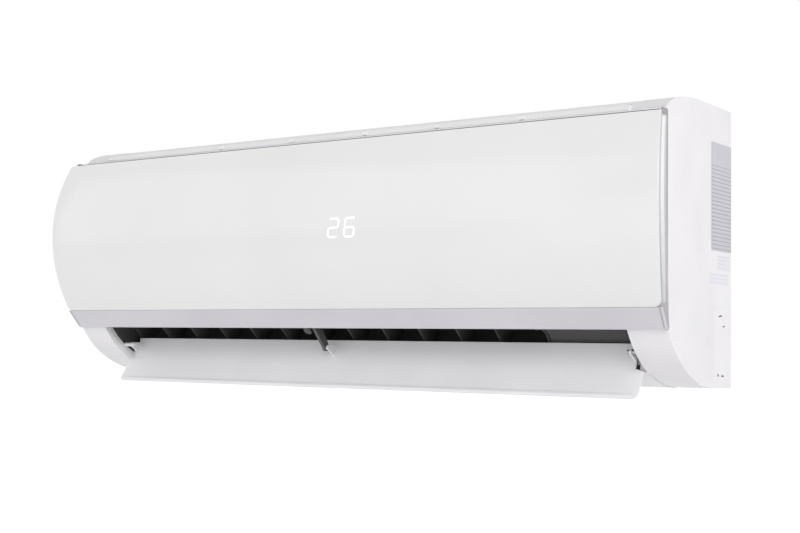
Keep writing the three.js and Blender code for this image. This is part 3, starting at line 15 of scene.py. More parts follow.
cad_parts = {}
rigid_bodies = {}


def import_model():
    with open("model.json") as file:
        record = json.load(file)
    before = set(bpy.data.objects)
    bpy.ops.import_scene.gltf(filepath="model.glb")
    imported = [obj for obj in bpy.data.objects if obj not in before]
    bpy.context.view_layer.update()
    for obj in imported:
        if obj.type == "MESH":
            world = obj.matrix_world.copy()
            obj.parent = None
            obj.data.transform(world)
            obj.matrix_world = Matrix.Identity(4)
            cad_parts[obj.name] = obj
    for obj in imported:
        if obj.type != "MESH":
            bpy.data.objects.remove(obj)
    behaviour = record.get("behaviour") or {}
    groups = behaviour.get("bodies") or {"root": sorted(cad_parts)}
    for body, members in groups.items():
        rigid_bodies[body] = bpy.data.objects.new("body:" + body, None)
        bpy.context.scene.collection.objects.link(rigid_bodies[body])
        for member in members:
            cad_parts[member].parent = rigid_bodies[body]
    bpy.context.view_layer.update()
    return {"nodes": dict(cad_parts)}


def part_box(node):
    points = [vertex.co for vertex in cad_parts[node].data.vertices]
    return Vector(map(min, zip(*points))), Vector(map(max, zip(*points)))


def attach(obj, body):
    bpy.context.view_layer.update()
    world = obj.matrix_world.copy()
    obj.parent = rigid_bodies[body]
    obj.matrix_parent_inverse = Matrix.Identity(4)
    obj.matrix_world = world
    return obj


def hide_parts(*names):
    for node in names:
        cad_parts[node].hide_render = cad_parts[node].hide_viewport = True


for unused in list(bpy.data.objects):
    bpy.data.objects.remove(unused)
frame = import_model()

MM = 0.001
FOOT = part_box("front_casing")[0].z / MM  # underside of the casing, below the frame's origin


def box_mm(node):
    """Lowest and highest corner of a CAD node in mm, Z from the casing's underside."""
    low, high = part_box(node)
    shift = Vector((0, 0, FOOT))
    return low / MM - shift, high / MM - shift


# --- driving dimensions, mm ---
CASING = box_mm("front_casing")
CASE_HALF = CASING[1].x
CASE_TOP = CASING[1].z
SIDES = ((-1, "left"), (1, "right"))
PANEL = box_mm("front_panel")
PANEL_FRONT = PANEL[0].y + 0.1  # foremost line of its skin
PANEL_FOOT = PANEL[0].z
PANEL_TOP = PANEL[1].z
PANEL_HALF = 425.0  # half width at the panel's ends
PANEL_BULGE = PANEL[1].x - PANEL_HALF
PANEL_WALL = 3.0
PANEL_CORNER = 7.0
PANEL_EDGE = 1.1  # rounding of its edges
APEX = 183.0  # height of the panel's foremost line
SAG_TOP, SAG_FOOT = 190.0, 215.0  # radii of the panel above and below that line
PANEL_CREST = PANEL_TOP - 3.0  # highest point of its skin
ROLL_FOOT = PANEL_CREST - 9.0  # where the upper edge starts to roll back
ROLL_DEPTH = 10.5  # how far it rolls back
TRIM = box_mm("trim_frame")
TRIM_LOW = -169.0  # front of its lower edge
TRIM_GAP = 0.7
CREST_GAP = 0.25  # between the panel's foot and the strip's upper edge
FOOT_ROUND = 4.0  # rounding at the foot of its side bands
FOOT_LAP = 7.0  # how far these lap over the casing's sides at their foot
SEAM_START, SEAM_SHARE = 0.2, 0.13  # back edge of their seam, and its share of their depth
BEAD = (0.46, 0.80)  # where their bead starts and ends, in shares of that depth
STRIP_WALL = 2.2
STRIP_OUT = 2.0  # the strip's lower corners beyond the casing's sides
STRIP_FLARE = 1.5 / 26  # what it gains there for each millimetre of height
HINGE = (-172.0, 272.0)  # axis of the panel's hinge, (y, z)
SWING = 10.2  # what the panel's upper edge sweeps round that axis
ROLL_UNDER = PANEL_CREST - PANEL_WALL - TRIM_GAP  # just under that edge
LOUVER = box_mm("louver")
LOUVER_PIVOT = (-127.0, 37.0)
LOUVER_WALL = 2.2
LOUVER_HALF = LOUVER[1].x
LOUVER_NOTCH = 10.0  # how much narrower it is towards its crown
LOUVER_NARROW = LOUVER_HALF - LOUVER_NOTCH
NOTCH_FOOT, NOTCH_RISE = -20.0, 3.5  # where that starts, from the pivot, and its height
LOUVER_TIP, LOUVER_CROWN, LOUVER_BOW = (-12.0, -46.8), (15.0, 9.0), (3.4, -1.6)
LIP_PROFILE = ((0.5, -0.4), (0.8, 0.35), (2.0, 0.75), (4.0, 0.7), (5.6, 0.25), (6.8, -0.3))
EAR = 2.6  # thickness of the arms between the flap and its pivot
EAR_RADIUS = 3.2  # of their rounded end
SUPPORT = box_mm("louver_support")
CHEEK = [(-165, 60), (-146, 28), (-100, 0), (-45, 0)]  # Bezier of the duct's foot, (y, z)
DUCT_END = 379.0  # inner faces of the casing's cheeks
DUCT_BACK, DUCT_ROOF = -62.0, 104.0  # how far back and up these are lined
LINER_MARGIN = 11.0
RIM = 6.0  # width of the rim along the cheeks' inner edge, painted bright as light
GRILLE = box_mm("top_intake_grille")
GRILLE_HALF = GRILLE[1].x - 3
BAR_COUNT, BAR_HALF = 150, 0.9  # bars across the grille, and half their width
BAR_PLACES = np.arange(-GRILLE_HALF, GRILLE_HALF + 0.1, 2 * GRILLE_HALF / BAR_COUNT)
BROW = [(-80, CASE_TOP), (-134, CASE_TOP), (-158, CASE_TOP - 9.5), (-165, CASE_TOP - 19)]
BROW_TABS = (-376.8, -178.0, -64.2, 46.8, 146.5, 255.2)  # places of the small catches
DISPLAY = box_mm("display_module")
FIGURE_WIDE, FIGURE_TALL, FIGURE_STEP, SLANT = 13.4, 20.4, 23.0, 0.15
STROKE, STROKE_GAP = 1.9, 0.7
FIGURE_RISE = 2.0  # of the figures' middle above the module's
FIGURE_SKIN = (-0.25, 0.06)  # back and front of the figures, before the panel's surface
KNOCKOUT_LAP, KNOCKOUT_CORNER = 1.6, 13.0
SIDE_SLOTS = (  # y, z, width, height and lean
    (-29.9, 76.5, 9, 1.5, 1.2), (-20.5, 65.7, 5, 1.5, 1.0),
    (-36.1, 13.9, 3, 2.6, -1.0), (-23.7, 12.9, 6, 1.7, -0.2),
)
SIDE_PATCHES = (((-38, 125), (-3, 141)), ((-59, 110), (-8, 122)))  # corners, (y, z)
FAN = box_mm("crossflow_fan")
FAN_CENTRE = ((FAN[0].y + FAN[1].y) / 2, (FAN[0].z + FAN[1].z) / 2)
FAN_RADIUS = (FAN[1].y - FAN[0].y) / 2
FAN_BAYS, FAN_BLADES, FAN_DISC = 9, 35, 1.6
BAY = (FAN[1].x - FAN[0].x - FAN_DISC) / FAN_BAYS
SHAFT_HOLE = 4.4
COIL = {  # inner face of each coil block, from its lower to its upper end
    "coil_front_lower": ((-152, 88), (-152, 187)),
    "coil_front_upper": ((-151, 191), (-97, 255)),
    "coil_rear": ((-91, 256), (-41, 196)),
}
COIL_THICK = 22.0
FIN, FIN_PITCH = 0.22, 1.6
TUBE_RADIUS, TUBE_PITCH = 3.4, 19.0
THREAD, WEAVE = 0.5, 3.0  # thickness and pitch of the filters' mesh


# --- geometry helpers ---
def bezier(points, count):
    """Points on a Bezier curve of any degree."""
    points = np.array(points, float)
    degree = len(points) - 1
    t = np.linspace(0, 1, count + 1)[:, None]
    return sum(
        math.comb(degree, k) * t**k * (1 - t) ** (degree - k) * points[k]
        for k in range(degree + 1)
    )


def normals(path):
    """Unit normals to the left of a path of (y, z) points."""
    step = np.gradient(np.array(path, float), axis=0)
    step /= np.linalg.norm(step, axis=1)[:, None]
    return np.stack([-step[:, 1], step[:, 0]], axis=1)


def distances(path):
    """How far along a path each of its points lies."""
    steps = np.linalg.norm(np.diff(np.array(path, float), axis=0), axis=1)
    return np.concatenate([[0], np.cumsum(steps)])


def point_at(path, along, s):
    """Point of a path at a distance along it."""
    return np.array([np.interp(s, along, path[:, i]) for i in (0, 1)])


def between(side, near, far):
    """Lowest and highest X between two distances from the middle, on one side."""
    return sorted((side * near, side * far))


def make(name, points, faces, material, body, nodes=(), angle=35):
    """A piece from points in mm; it rides on a body and may stand for CAD nodes."""
    mesh = bpy.data.meshes.new(name)
    shift = np.array([0, 0, FOOT])
    mesh.from_pydata([tuple((np.array(p, float) + shift) * MM) for p in points], [], faces)
    work = bmesh.new()
    work.from_mesh(mesh)
    bmesh.ops.recalc_face_normals(work, faces=work.faces)
    work.to_mesh(mesh)
    work.free()
    mesh.shade_smooth()
    mesh.set_sharp_from_angle(angle=math.radians(angle))
    mesh.materials.append(material)
    piece = bpy.data.objects.new(name, mesh)
    bpy.context.scene.collection.objects.link(piece)
    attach(piece, body)
    if nodes:
        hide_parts(*nodes)


class Shape:
    """Collects closed bodies for one piece."""

    def __init__(self):
        self.points, self.faces = [], []

    def loft(self, rings, closed=False):
        """Joins equal rings of points into a tube, with flat ends unless it closes on itself."""
        start, count = len(self.points), len(rings[0])
        self.points += [tuple(p) for ring in rings for p in ring]
        faces = []
        for r in range(len(rings) if closed else len(rings) - 1):
            a, b = r * count, (r + 1) % len(rings) * count
            for i in range(count):
                j = (i + 1) % count
                faces.append((a + i, a + j, b + j, b + i))
        if not closed:
            faces.append(tuple(reversed(range(count))))
            faces.append(tuple(range((len(rings) - 1) * count, len(rings) * count)))
        self.faces += [tuple(start + i for i in face) for face in faces]
        return self

    def prism(self, outline, x0, x1):
        """Closed outline of (y, z) points stretched along X."""
        return self.loft([[(x, y, z) for y, z in outline] for x in (x0, x1)])

    def strip(self, path, thickness, x0, x1):
        """Band of even thickness to the left of a path of (y, z) points, stretched along X."""
        path = np.array(path, float)
        outer = path + normals(path) * thickness
        return self.loft([[(x0, *p), (x1, *p), (x1, *q), (x0, *q)] for p, q in zip(path, outer)])

    def rod(self, x0, x1, centre, radius, sides):
        """Round rod along X."""
        y, z = centre
        angles = np.linspace(0, 2 * math.pi, sides, endpoint=False) + math.pi / 4
        ring = [(y + radius * math.cos(a), z + radius * math.sin(a)) for a in angles]
        return self.prism(ring, x0, x1)

    def block(self, low, high):
        """Box from its lowest to its highest corner."""
        (x0, y0, z0), (x1, y1, z1) = low, high
        return self.prism([(y0, z0), (y1, z0), (y1, z1), (y0, z1)], x0, x1)

    def done(self, name, material, body, slot, nodes=(), angle=35):
        """The collected bodies as one piece."""
        make(name, self.points, self.faces, material, body, nodes, angle)


ACROSS, CORNER_STEPS = 28, 5  # faces across a curved sheet, and sections in each rounded end


def sheet_stations(length, corners, inset, rows):
    """How far along a sheet its sections lie, closer together in its corners."""
    first, last = [max(c - inset, 0.01) for c in corners]
    turn = 1 - np.cos(np.linspace(0, math.pi / 2, CORNER_STEPS + 1))[:-1]
    middle = np.linspace(inset + first, length - inset - last, rows)
    return np.concatenate([inset + first * turn, middle, (length - inset - last * turn)[::-1]])


def sheet_half(half, length, corners, inset, s):
    """Half width of a sheet at a distance along it, less where a corner is rounded."""
    half -= inset
    for corner, away in ((corners[0], s - inset), (corners[1], length - inset - s)):
        radius = max(corner - inset, 0.01)
        if away < radius:
            half -= radius - math.sqrt(max(radius**2 - (radius - away) ** 2, 0))
    return half


def sheet_faces(rows, layers):
    """Faces over layered grids of points: the rim between them, the front and the back."""
    columns = ACROSS + 1
    count = rows * columns
    high = count - columns
    rim = list(range(ACROSS)) + list(range(ACROSS, count - 1, columns))
    rim += list(range(count - 1, high, -1)) + list(range(high, 0, -columns))
    faces = []
    for a in range(0, (layers - 1) * count, count):
        b = a + count
        faces += [(a + i, b + i, b + j, a + j) for i, j in zip(rim, rim[1:] + rim[:1])]
    for start in (0, (layers - 1) * count):
        for p in range(start, start + high):
            if (p - start) % columns != ACROSS:
                faces.append((p, p + 1, p + 1 + columns, p + columns))
    return faces


def curved_sheet(path, half_at, thickness, corners, edge, rows):
    """Closed sheet behind a path of (y, z) points, rounded at its corners and all its edges.

    half_at gives the half width at a distance along the path, corners the corner radius at
    the start and at the end, and the sheet's front is to the left of the path.
    """
    path = np.array(path, float)
    along, side = distances(path), normals(path)
    length = along[-1]
    angles = np.linspace(0, math.pi / 2, 5)
    levels = [(edge * (1 - math.sin(a)), edge * (1 - math.cos(a))) for a in angles]
    levels += [(edge * (1 - math.cos(a)), thickness - edge * (1 - math.sin(a))) for a in angles]
    points = []
    for inset, depth in levels:
        for s in sheet_stations(length, corners, inset, rows):
            wide = sheet_half(half_at(s), length, corners, inset, s)
            y, z = point_at(path, along, s) - point_at(side, along, s) * depth
            points += [(wide * u, y, z) for u in np.linspace(-1, 1, ACROSS + 1)]
    faces = sheet_faces(rows + 2 * CORNER_STEPS, len(levels))
    used = sorted({i for face in faces for i in face})
    place = {old: new for new, old in enumerate(used)}
    return [points[i] for i in used], [tuple(place[i] for i in face) for face in faces]


# --- materials ---
class Finish:
    """A node material that reads the object's own coordinates, in metres."""

    def __init__(self, name, roughness, metallic=0.0):
        self.material = bpy.data.materials.new(name)
        self.material.use_nodes = True
        self.tree = self.material.node_tree
        self.shader = self.tree.nodes["Principled BSDF"]
        self.shader.inputs["Metallic"].default_value = metallic
        self.shader.inputs["Roughness"].default_value = roughness
        self.place = self.node("ShaderNodeTexCoord").outputs["Object"]

    def node(self, kind, **values):
        """New node with some of its settings."""
        made = self.tree.nodes.new(kind)
        for key, value in values.items():
            setattr(made, key, value)
        return made

    def link(self, source, target):
        self.tree.links.new(source, target)

    def texture(self, kind, scale, stretch=(1, 1, 1), **values):
        """Texture whose features are about 1 / scale metres across, over a stretch."""
        grid = self.node("ShaderNodeMapping")
        grid.inputs["Scale"].default_value = stretch
        self.link(self.place, grid.inputs["Vector"])
        texture = self.node(kind, **values)
        texture.inputs["Scale"].default_value = scale
        self.link(grid.outputs["Vector"], texture.inputs["Vector"])
        return texture

    def noise(self, scale, detail=3.0, stretch=(1, 1, 1)):
        texture = self.texture("ShaderNodeTexNoise", scale, stretch)
        texture.inputs["Detail"].default_value = detail
        return texture.outputs["Fac"]

    def cells(self, scale, feature="F1", output="Distance"):
        return self.texture("ShaderNodeTexVoronoi", scale, feature=feature).outputs[output]

    def height(self, low, high):
        """0 up to a height in mm above the casing's underside, 1 from a second one."""
        parts = self.node("ShaderNodeSeparateXYZ")
        self.link(self.place, parts.inputs[0])
        return self.span(parts.outputs["Z"], 0, 1, (low + FOOT) * MM, (high + FOOT) * MM)

    def lines(self, pitch, width):
        """Level stripes at a pitch in metres: 1 on the line, 0 between."""
        wave = self.node("ShaderNodeTexWave", wave_type="BANDS", bands_direction="Z")
        wave.inputs["Scale"].default_value = math.pi / 10 / pitch
        self.link(self.place, wave.inputs["Vector"])
        return self.span(wave.outputs["Fac"], 0, 1, 1 - width, 1 - width + 0.12)

    def span(self, value, low, high, start=0.3, end=0.7):
        """Stretches start to end of a value over low to high."""
        scale = self.node("ShaderNodeMapRange")
        ends = {"From Min": start, "From Max": end, "To Min": low, "To Max": high}
        for key, number in ends.items():
            scale.inputs[key].default_value = number
        self.link(value, scale.inputs["Value"])
        return scale.outputs["Result"]

    def blend(self, value, first, second):
        """Colour that goes from first to second as value goes from 0 to 1."""
        mix = self.node("ShaderNodeMix", data_type="RGBA")
        for socket, colour in ((mix.inputs[6], first), (mix.inputs[7], second)):
            if hasattr(colour, "is_linked"):
                self.link(colour, socket)
            else:
                socket.default_value = (*colour, 1)
        self.link(value, mix.inputs[0])
        return mix.outputs[2]

    def clouds(self, scale, detail, first, second):
        """Colour that wanders between two."""
        return self.blend(self.span(self.noise(scale, detail), 0, 1), first, second)

    def colour(self, output):
        self.link(output, self.shader.inputs["Base Color"])

    def rough(self, value, low, high):
        self.link(self.span(value, low, high), self.shader.inputs["Roughness"])

    def bump(self, *layers):
        """Bump from (height, distance in metres) layers, one on the other."""
        below = None
        for height, distance in layers:
            bump = self.node("ShaderNodeBump")
            bump.inputs["Distance"].default_value = distance
            self.link(height, bump.inputs["Height"])
            if below is not None:
                self.link(below, bump.inputs["Normal"])
            below = bump.outputs["Normal"]
        self.link(below, self.shader.inputs["Normal"])


def grey(level, tint=(0, 0, 0)):
    """Linear colour of an sRGB grey level, 0 to 255, with a small tint added to it."""
    shares = [(level + t) / 255 for t in tint]
    return tuple(c / 12.92 if c < 0.04 else ((c + 0.055) / 1.055) ** 2.4 for c in shares)


def moulded(name, level, roughness, tint=(0, 0, 0), spread=3, grain=0.00003, specular=0.5):
    """Injection moulded plastic: faint mottle, fine grain, uneven gloss."""
    f = Finish(name, roughness)
    f.shader.inputs["Specular IOR Level"].default_value = specular
    f.colour(f.clouds(14, 4, grey(level - spread, tint), grey(level + spread, tint)))
    f.rough(f.noise(60, 3), roughness - 0.04, roughness + 0.05)
    f.bump((f.noise(1600, 2), grain), (f.noise(7, 2), 0.00025))
    return f.material


def gloss_white(name):
    """Glossy lacquered panel: faint orange peel, hardly any mottle, and painted light and shade:
    paler low down, darker higher up.
    """
    f = Finish(name, 0.16)
    f.shader.inputs["Coat Weight"].default_value = 0.35
    f.shader.inputs["Coat Roughness"].default_value = 0.06
    mottle = f.span(f.noise(5, 3), 0, 1)
    # painted light and shade: paler colours low on the panel, darker ones higher up, blended by
    # height
    low = f.blend(mottle, grey(229, (0, 1, 0)), grey(233, (0, 1, 0)))
    high = f.blend(mottle, grey(221, (0, 1, 0)), grey(225, (0, 1, 0)))
    f.colour(f.blend(f.height(105, 240), low, high))
    f.rough(f.noise(30, 3), 0.15, 0.22)
    f.bump((f.noise(260, 2), 0.000012), (f.noise(3.5, 1), 0.0003))
    return f.material


def metal_paint(name, roughness, metallic, base, glint, level):
    """Satin paint on plastic: fine flakes of a grey level, over the colour that base adds."""
    f = Finish(name, roughness, metallic)
    flakes = f.cells(2600, output="Color")
    under = base(f)
    f.colour(f.blend(f.span(flakes, 0, glint, 0.1, 0.9), under, grey(level, (0, -1, 3))))
    f.rough(f.noise(300, 2), roughness - 0.04, roughness + 0.06)
    f.bump((f.noise(2200, 2), 0.00002))
    return f.material


def even_silver(f):
    """Base of the strip under the panel."""
    return f.clouds(9, 3, grey(196, (0, -2, 4)), grey(204, (0, -2, 4)))


def painted_shade_silver(f):
    """Base of the side bands, painted darker towards their foot as shade and dark reflection."""
    # painted shade and dark reflection: darker low down, lighter higher up
    return f.blend(f.height(20, 215), grey(150, (2, -2, 3)), grey(194, (0, -1, 3)))


def painted_highlight_bead(name):
    """Rounded moulding painted bright as a highlight, and painted duller towards its foot as
    shade.
    """
    f = Finish(name, 0.2)
    f.shader.inputs["Specular IOR Level"].default_value = 0.6
    # painted highlight, fading into painted shade towards the foot
    base = f.blend(f.height(40, 190), grey(178, (2, -1, 3)), grey(243, (0, 0, 1)))
    f.colour(f.blend(f.span(f.noise(40, 3), 0, 0.12), base, grey(214, (0, 0, 2))))
    f.rough(f.noise(60, 3), 0.16, 0.26)
    f.bump((f.noise(900, 2), 0.00001))
    return f.material


def galvanised(name):
    """Zinc-coated sheet with its spangle."""
    f = Finish(name, 0.42, 0.9)
    spangle = f.cells(120, output="Color")
    f.colour(f.blend(f.span(spangle, 0, 1, 0, 1), grey(150, (0, 2, 5)), grey(186, (0, 2, 4))))
    f.rough(spangle, 0.3, 0.5)
    f.bump((f.noise(500, 3), 0.00003))
    return f.material


def drawn_metal(name, low, high, tint, roughness, stretch=(40, 900, 900)):
    """Metal with fine drawing lines and faint tarnish."""
    f = Finish(name, roughness, 1.0)
    f.colour(f.clouds(25, 5, grey(low, tint), grey(high, tint)))
    f.rough(f.noise(1, 3, stretch), roughness - 0.06, roughness + 0.08)
    f.bump((f.noise(1, 3, stretch), 0.00001))
    return f.material


def rubber(name):
    """Dull black rubber, a little dusty."""
    f = Finish(name, 0.75)
    f.colour(f.clouds(40, 4, grey(26), grey(40)))
    f.rough(f.noise(90, 3), 0.68, 0.85)
    f.bump((f.noise(900, 3), 0.00006))
    return f.material


def foam(name):
    """Closed-cell pipe insulation with a wrinkled skin."""
    f = Finish(name, 0.85)
    pores = f.cells(420)
    f.colour(f.blend(f.span(pores, 0, 1, 0, 0.6), grey(196, (0, 0, -3)), grey(222, (0, 0, -3))))
    f.rough(pores, 0.8, 0.95)
    f.bump((pores, 0.00025), (f.noise(18, 3, (1, 4, 4)), 0.0012))
    return f.material


def laminate(name):
    """Green board with etched tracks and pads."""
    f = Finish(name, 0.35)
    tracks = f.cells(160, feature="DISTANCE_TO_EDGE")
    base = f.clouds(30, 3, (0.012, 0.09, 0.028), (0.02, 0.13, 0.045))
    on = f.span(tracks, 1, 0, 0.02, 0.05)
    f.colour(f.blend(on, base, (0.05, 0.22, 0.08)))
    f.bump((on, 0.00004))
    return f.material


def film(name, level, rule, pitch, head=None):
    """Blank self-adhesive film: satin, with faint ruled rows, plain above a height."""
    f = Finish(name, 0.4)
    rows = f.lines(pitch, 0.12)
    if head is not None:
        plain = f.node("ShaderNodeMath", operation="MULTIPLY")
        f.link(rows, plain.inputs[0])
        f.link(f.span(f.height(head, head + 0.5), 1, 0, 0, 1), plain.inputs[1])
        rows = plain.outputs[0]
    paper = f.clouds(40, 3, grey(level - 3, (1, -1, 7)), grey(level + 3, (1, -1, 7)))
    f.colour(f.blend(rows, paper, grey(rule, (0, 0, 3))))
    f.rough(f.noise(120, 3), 0.35, 0.5)
    f.bump((f.noise(500, 2), 0.00002))
    return f.material


def lit(name):
    """Lit display segment behind a diffusing skin."""
    f = Finish(name, 0.5)
    glow = f.span(f.noise(220, 2), 0.97, 1.0)
    f.colour(f.blend(glow, grey(250), grey(255)))
    f.link(f.blend(glow, (0.9, 0.95, 1.0), (1, 1, 1)), f.shader.inputs["Emission Color"])
    f.shader.inputs["Emission Strength"].default_value = 0.55
    return f.material


WHITE = moulded("casing_white", 238, 0.46, (1, -1, 2))
PANEL_WHITE = gloss_white("panel_white")
GRILLE_WHITE = moulded("grille_white", 226, 0.5, (0, 0, 1))
# bead of the side bands: painted highlight
BEAD_PAINTED_HIGHLIGHT = painted_highlight_bead("bead_painted_highlight")
SILVER = metal_paint("trim_silver", 0.36, 0.35, even_silver, 0.22, 228)
# side bands' silver, painted darker towards their foot as shade
BAND_SILVER_PAINTED_SHADE = metal_paint("band_silver_painted_shade", 0.38, 0.25, painted_shade_silver, 0.2, 226)
# seam and cap of the side bands: dark grey, painted shadow
PAINTED_SHADOW_GREY = moulded("painted_shadow_grey", 158, 0.5, (3, 0, 1))
# dark strip behind the panel's upper edge: painted shadow
PANEL_GAP_SHADOW = moulded("panel_gap_shadow", 120, 0.6, (0, 0, 1))
LOUVER_WHITE = moulded("louver_white", 235, 0.42, (0, -1, 2))
BLACK = moulded("black_abs", 72, 0.5, (1, 0, 1), 4, 0.00004, 0.35)
VANE_BLACK = moulded("vane_abs", 84, 0.45, (1, 0, 1), 4, 0.00003, 0.4)
GREY = moulded("grey_abs", 84, 0.5, (2, 0, 0), 4)
LIGHT_GREY = moulded("light_grey_abs", 176, 0.45, (0, 0, 2))
MESH = moulded("filter_mesh", 120, 0.55, (-2, 0, 3), 6)
FILTER_FRAME = moulded("filter_frame", 196, 0.5, (0, 0, 2))
ZINC = galvanised("zinc_sheet")
STEEL = drawn_metal("shaft_steel", 150, 178, (0, 1, 3), 0.28)
FINS = drawn_metal("fin_aluminium", 186, 208, (0, 1, 3), 0.34, (900, 200, 200))
COPPER = drawn_metal("copper_tube", 168, 196, (28, -22, -62), 0.27)
BRASS = drawn_metal("nut_brass", 176, 200, (18, -12, -72), 0.3)
RUBBER = rubber("black_rubber")
FOAM = foam("sleeve_foam")
BOARD = laminate("board_green")
LABEL = film("label_grey", 200, 138, 0.0042, 236)
PATCH = film("patch_grey", 232, 214, 0.004)
# brightened copy of the casing white: painted light
PAINTED_LIGHT_WHITE = moulded("rim_white", 252, 0.4, (0, 0, 0), 2)
# darker copy of the casing white for the brow's ends: painted shade
BROW_PAINTED_SHADE = moulded("brow_painted_shade", 212, 0.45, (1, -1, 1))
SCORE_GREY = moulded("score_grey", 228, 0.5, (0, 0, 1))
DIGITS = lit("display_light")

SLOT_FINISH = {  # by slot; all but one of them bear its name
    finish.name.split(".")[0]: finish for finish in (
        WHITE, PANEL_WHITE, SILVER, LOUVER_WHITE, BLACK, GREY, LIGHT_GREY, ZINC, STEEL, FINS,
        COPPER, BRASS, RUBBER, FOAM, BOARD, LABEL,
    )
}
SLOT_FINISH["filter_mesh"] = FILTER_FRAME


# --- CAD nodes that stay ---
SMOOTH_ANGLE = math.radians(32)
WELD_REACH = 0.00001  # metres
FLAT_ANGLE = math.radians(0.6)  # faces closer than this in direction become one
BEVEL_ANGLE = math.radians(40)  # edges sharper than this are rounded
SMALL_BEVEL = 0.3
BEVELS = {
    "front_casing": 1.2, "wiring_cover": 0.6, "control_box": 0.6, "fan_motor": 1.2,
    "louver_motor": 0.8, "terminal_block": 0.5, "emergency_button": 0.5, "outlet_blank": 0.5,
    "rear_chassis": 0.7, "side_label": 0.05, "drain_outlet": 0.4,
}
WINDOWED = ("wall_plate", "filter_left", "filter_right")  # sheets full of holes keep their faces


def smooth_group():
    """Geometry nodes that shade smooth up to an angle and sharp beyond."""
    group = bpy.data.node_groups.new("smooth_by_angle", "GeometryNodeTree")
    for way in ("INPUT", "OUTPUT"):
        group.interface.new_socket("Geometry", in_out=way, socket_type="NodeSocketGeometry")
    start = group.nodes.new("NodeGroupInput")
    end = group.nodes.new("NodeGroupOutput")
    drop = group.nodes.new("GeometryNodeRemoveAttribute")
    drop.inputs["Name"].default_value = "custom_normal"
    faces = group.nodes.new("GeometryNodeSetShadeSmooth")
    edges = group.nodes.new("GeometryNodeSetShadeSmooth")
    edges.domain = "EDGE"
    angle = group.nodes.new("GeometryNodeInputMeshEdgeAngle")
    below = group.nodes.new("FunctionNodeCompare")
    below.operation = "LESS_THAN"
    below.inputs[1].default_value = SMOOTH_ANGLE
    group.links.new(start.outputs[0], drop.inputs[0])
    group.links.new(drop.outputs[0], faces.inputs[0])
    group.links.new(faces.outputs[0], edges.inputs[0])
    group.links.new(angle.outputs[0], below.inputs[0])
    group.links.new(below.outputs[0], edges.inputs["Shade Smooth"])
    group.links.new(edges.outputs[0], end.inputs[0])
    return group


def dress_nodes():
    """Edges and finish for every CAD node; those that a piece replaces are hidden later."""
    smooth = smooth_group()
    for name, node in frame["nodes"].items():
        weld = node.modifiers.new("weld", "WELD")
        weld.merge_threshold = WELD_REACH
        if name not in WINDOWED:
            flat = node.modifiers.new("flat", "DECIMATE")
            flat.decimate_type = "DISSOLVE"
            flat.angle_limit = FLAT_ANGLE
            bevel = node.modifiers.new("bevel", "BEVEL")
            bevel.width = BEVELS.get(name, SMALL_BEVEL) * MM
            bevel.segments = 3
            bevel.limit_method = "ANGLE"
            bevel.angle_limit = BEVEL_ANGLE
            bevel.miter_outer = "MITER_ARC"
        shade = node.modifiers.new("shade", "NODES")
        shade.node_group = smooth
        finish = SLOT_FINISH[node.data.materials[0].name.split(".")[0]]
        if name.startswith("vane_"):
            finish = VANE_BLACK
        node.data.materials.clear()
        node.data.materials.append(finish)


# --- panel ---
def panel_y(z):
    """Front of the panel at a height."""
    radius = SAG_TOP if z > APEX else SAG_FOOT
    return PANEL_FRONT + radius - math.sqrt(radius**2 - (z - APEX) ** 2)


def panel_half(z):
    """Half width of the panel at a height."""
    middle = (PANEL_FOOT + PANEL_TOP) / 2
    reach = (PANEL_TOP - PANEL_FOOT) / 2
    return PANEL_HALF + PANEL_BULGE * (1 - ((z - middle) / reach) ** 2)


def front_panel():
    """Gloss skin whose upper edge rolls back, and a dark strip behind that edge: painted shadow in
    the gap.
    """
    face = [(panel_y(z), z) for z in np.linspace(PANEL_FOOT, ROLL_FOOT, 90)]
    start = face[-1][0]
    roll = bezier([face[-1], (start + 2, PANEL_CREST), (start + ROLL_DEPTH, PANEL_CREST)], 14)
    path = np.array(face + [tuple(p) for p in roll[1:]])
    along = distances(path)
    points, faces = curved_sheet(
        path, lambda s: panel_half(np.interp(s, along, path[:, 1])), PANEL_WALL,
        (PANEL_CORNER, PANEL_CORNER), PANEL_EDGE, 70,
    )
    make("front_panel_skin", points, faces, PANEL_WHITE, "panel", ("front_panel",))
    rear, half = start + ROLL_DEPTH - 1, panel_half(ROLL_FOOT) - 5
    # dark strip riding on the panel: painted shadow in the gap between it and the casing
    gap_shadow = Shape()
    gap_shadow.block((-half, rear, PANEL_CREST - 1.5), (half, rear + 1.4, PANEL_CREST + 0.9))
    gap_shadow.done("panel_gap_shadow_strip", PANEL_GAP_SHADOW, "panel", "panel_white")


SEGMENTS = {  # ends of each stroke of a seven-segment figure, on a grid one wide and two high
    "a": ((0, 2), (1, 2)), "b": ((1, 2), (1, 1)), "c": ((1, 1), (1, 0)), "d": ((1, 0), (0, 0)),
    "e": ((0, 0), (0, 1)), "f": ((0, 1), (0, 2)), "g": ((0, 1), (1, 1)),
}
FIGURES = ("abged", "afgecd")  # strokes of a 2 and of a 6


def stroke(a, b):
    """Outline of one stroke with pointed ends, between two corners of a figure."""
    ahead = (b - a) / np.linalg.norm(b - a)
    side = np.array([-ahead[1], ahead[0]]) * STROKE / 2
    a, b = a + ahead * STROKE_GAP, b - ahead * STROKE_GAP
    tip = ahead * STROKE / 2
    return [a, a + tip + side, b - tip + side, b, b - tip - side, a + tip - side]


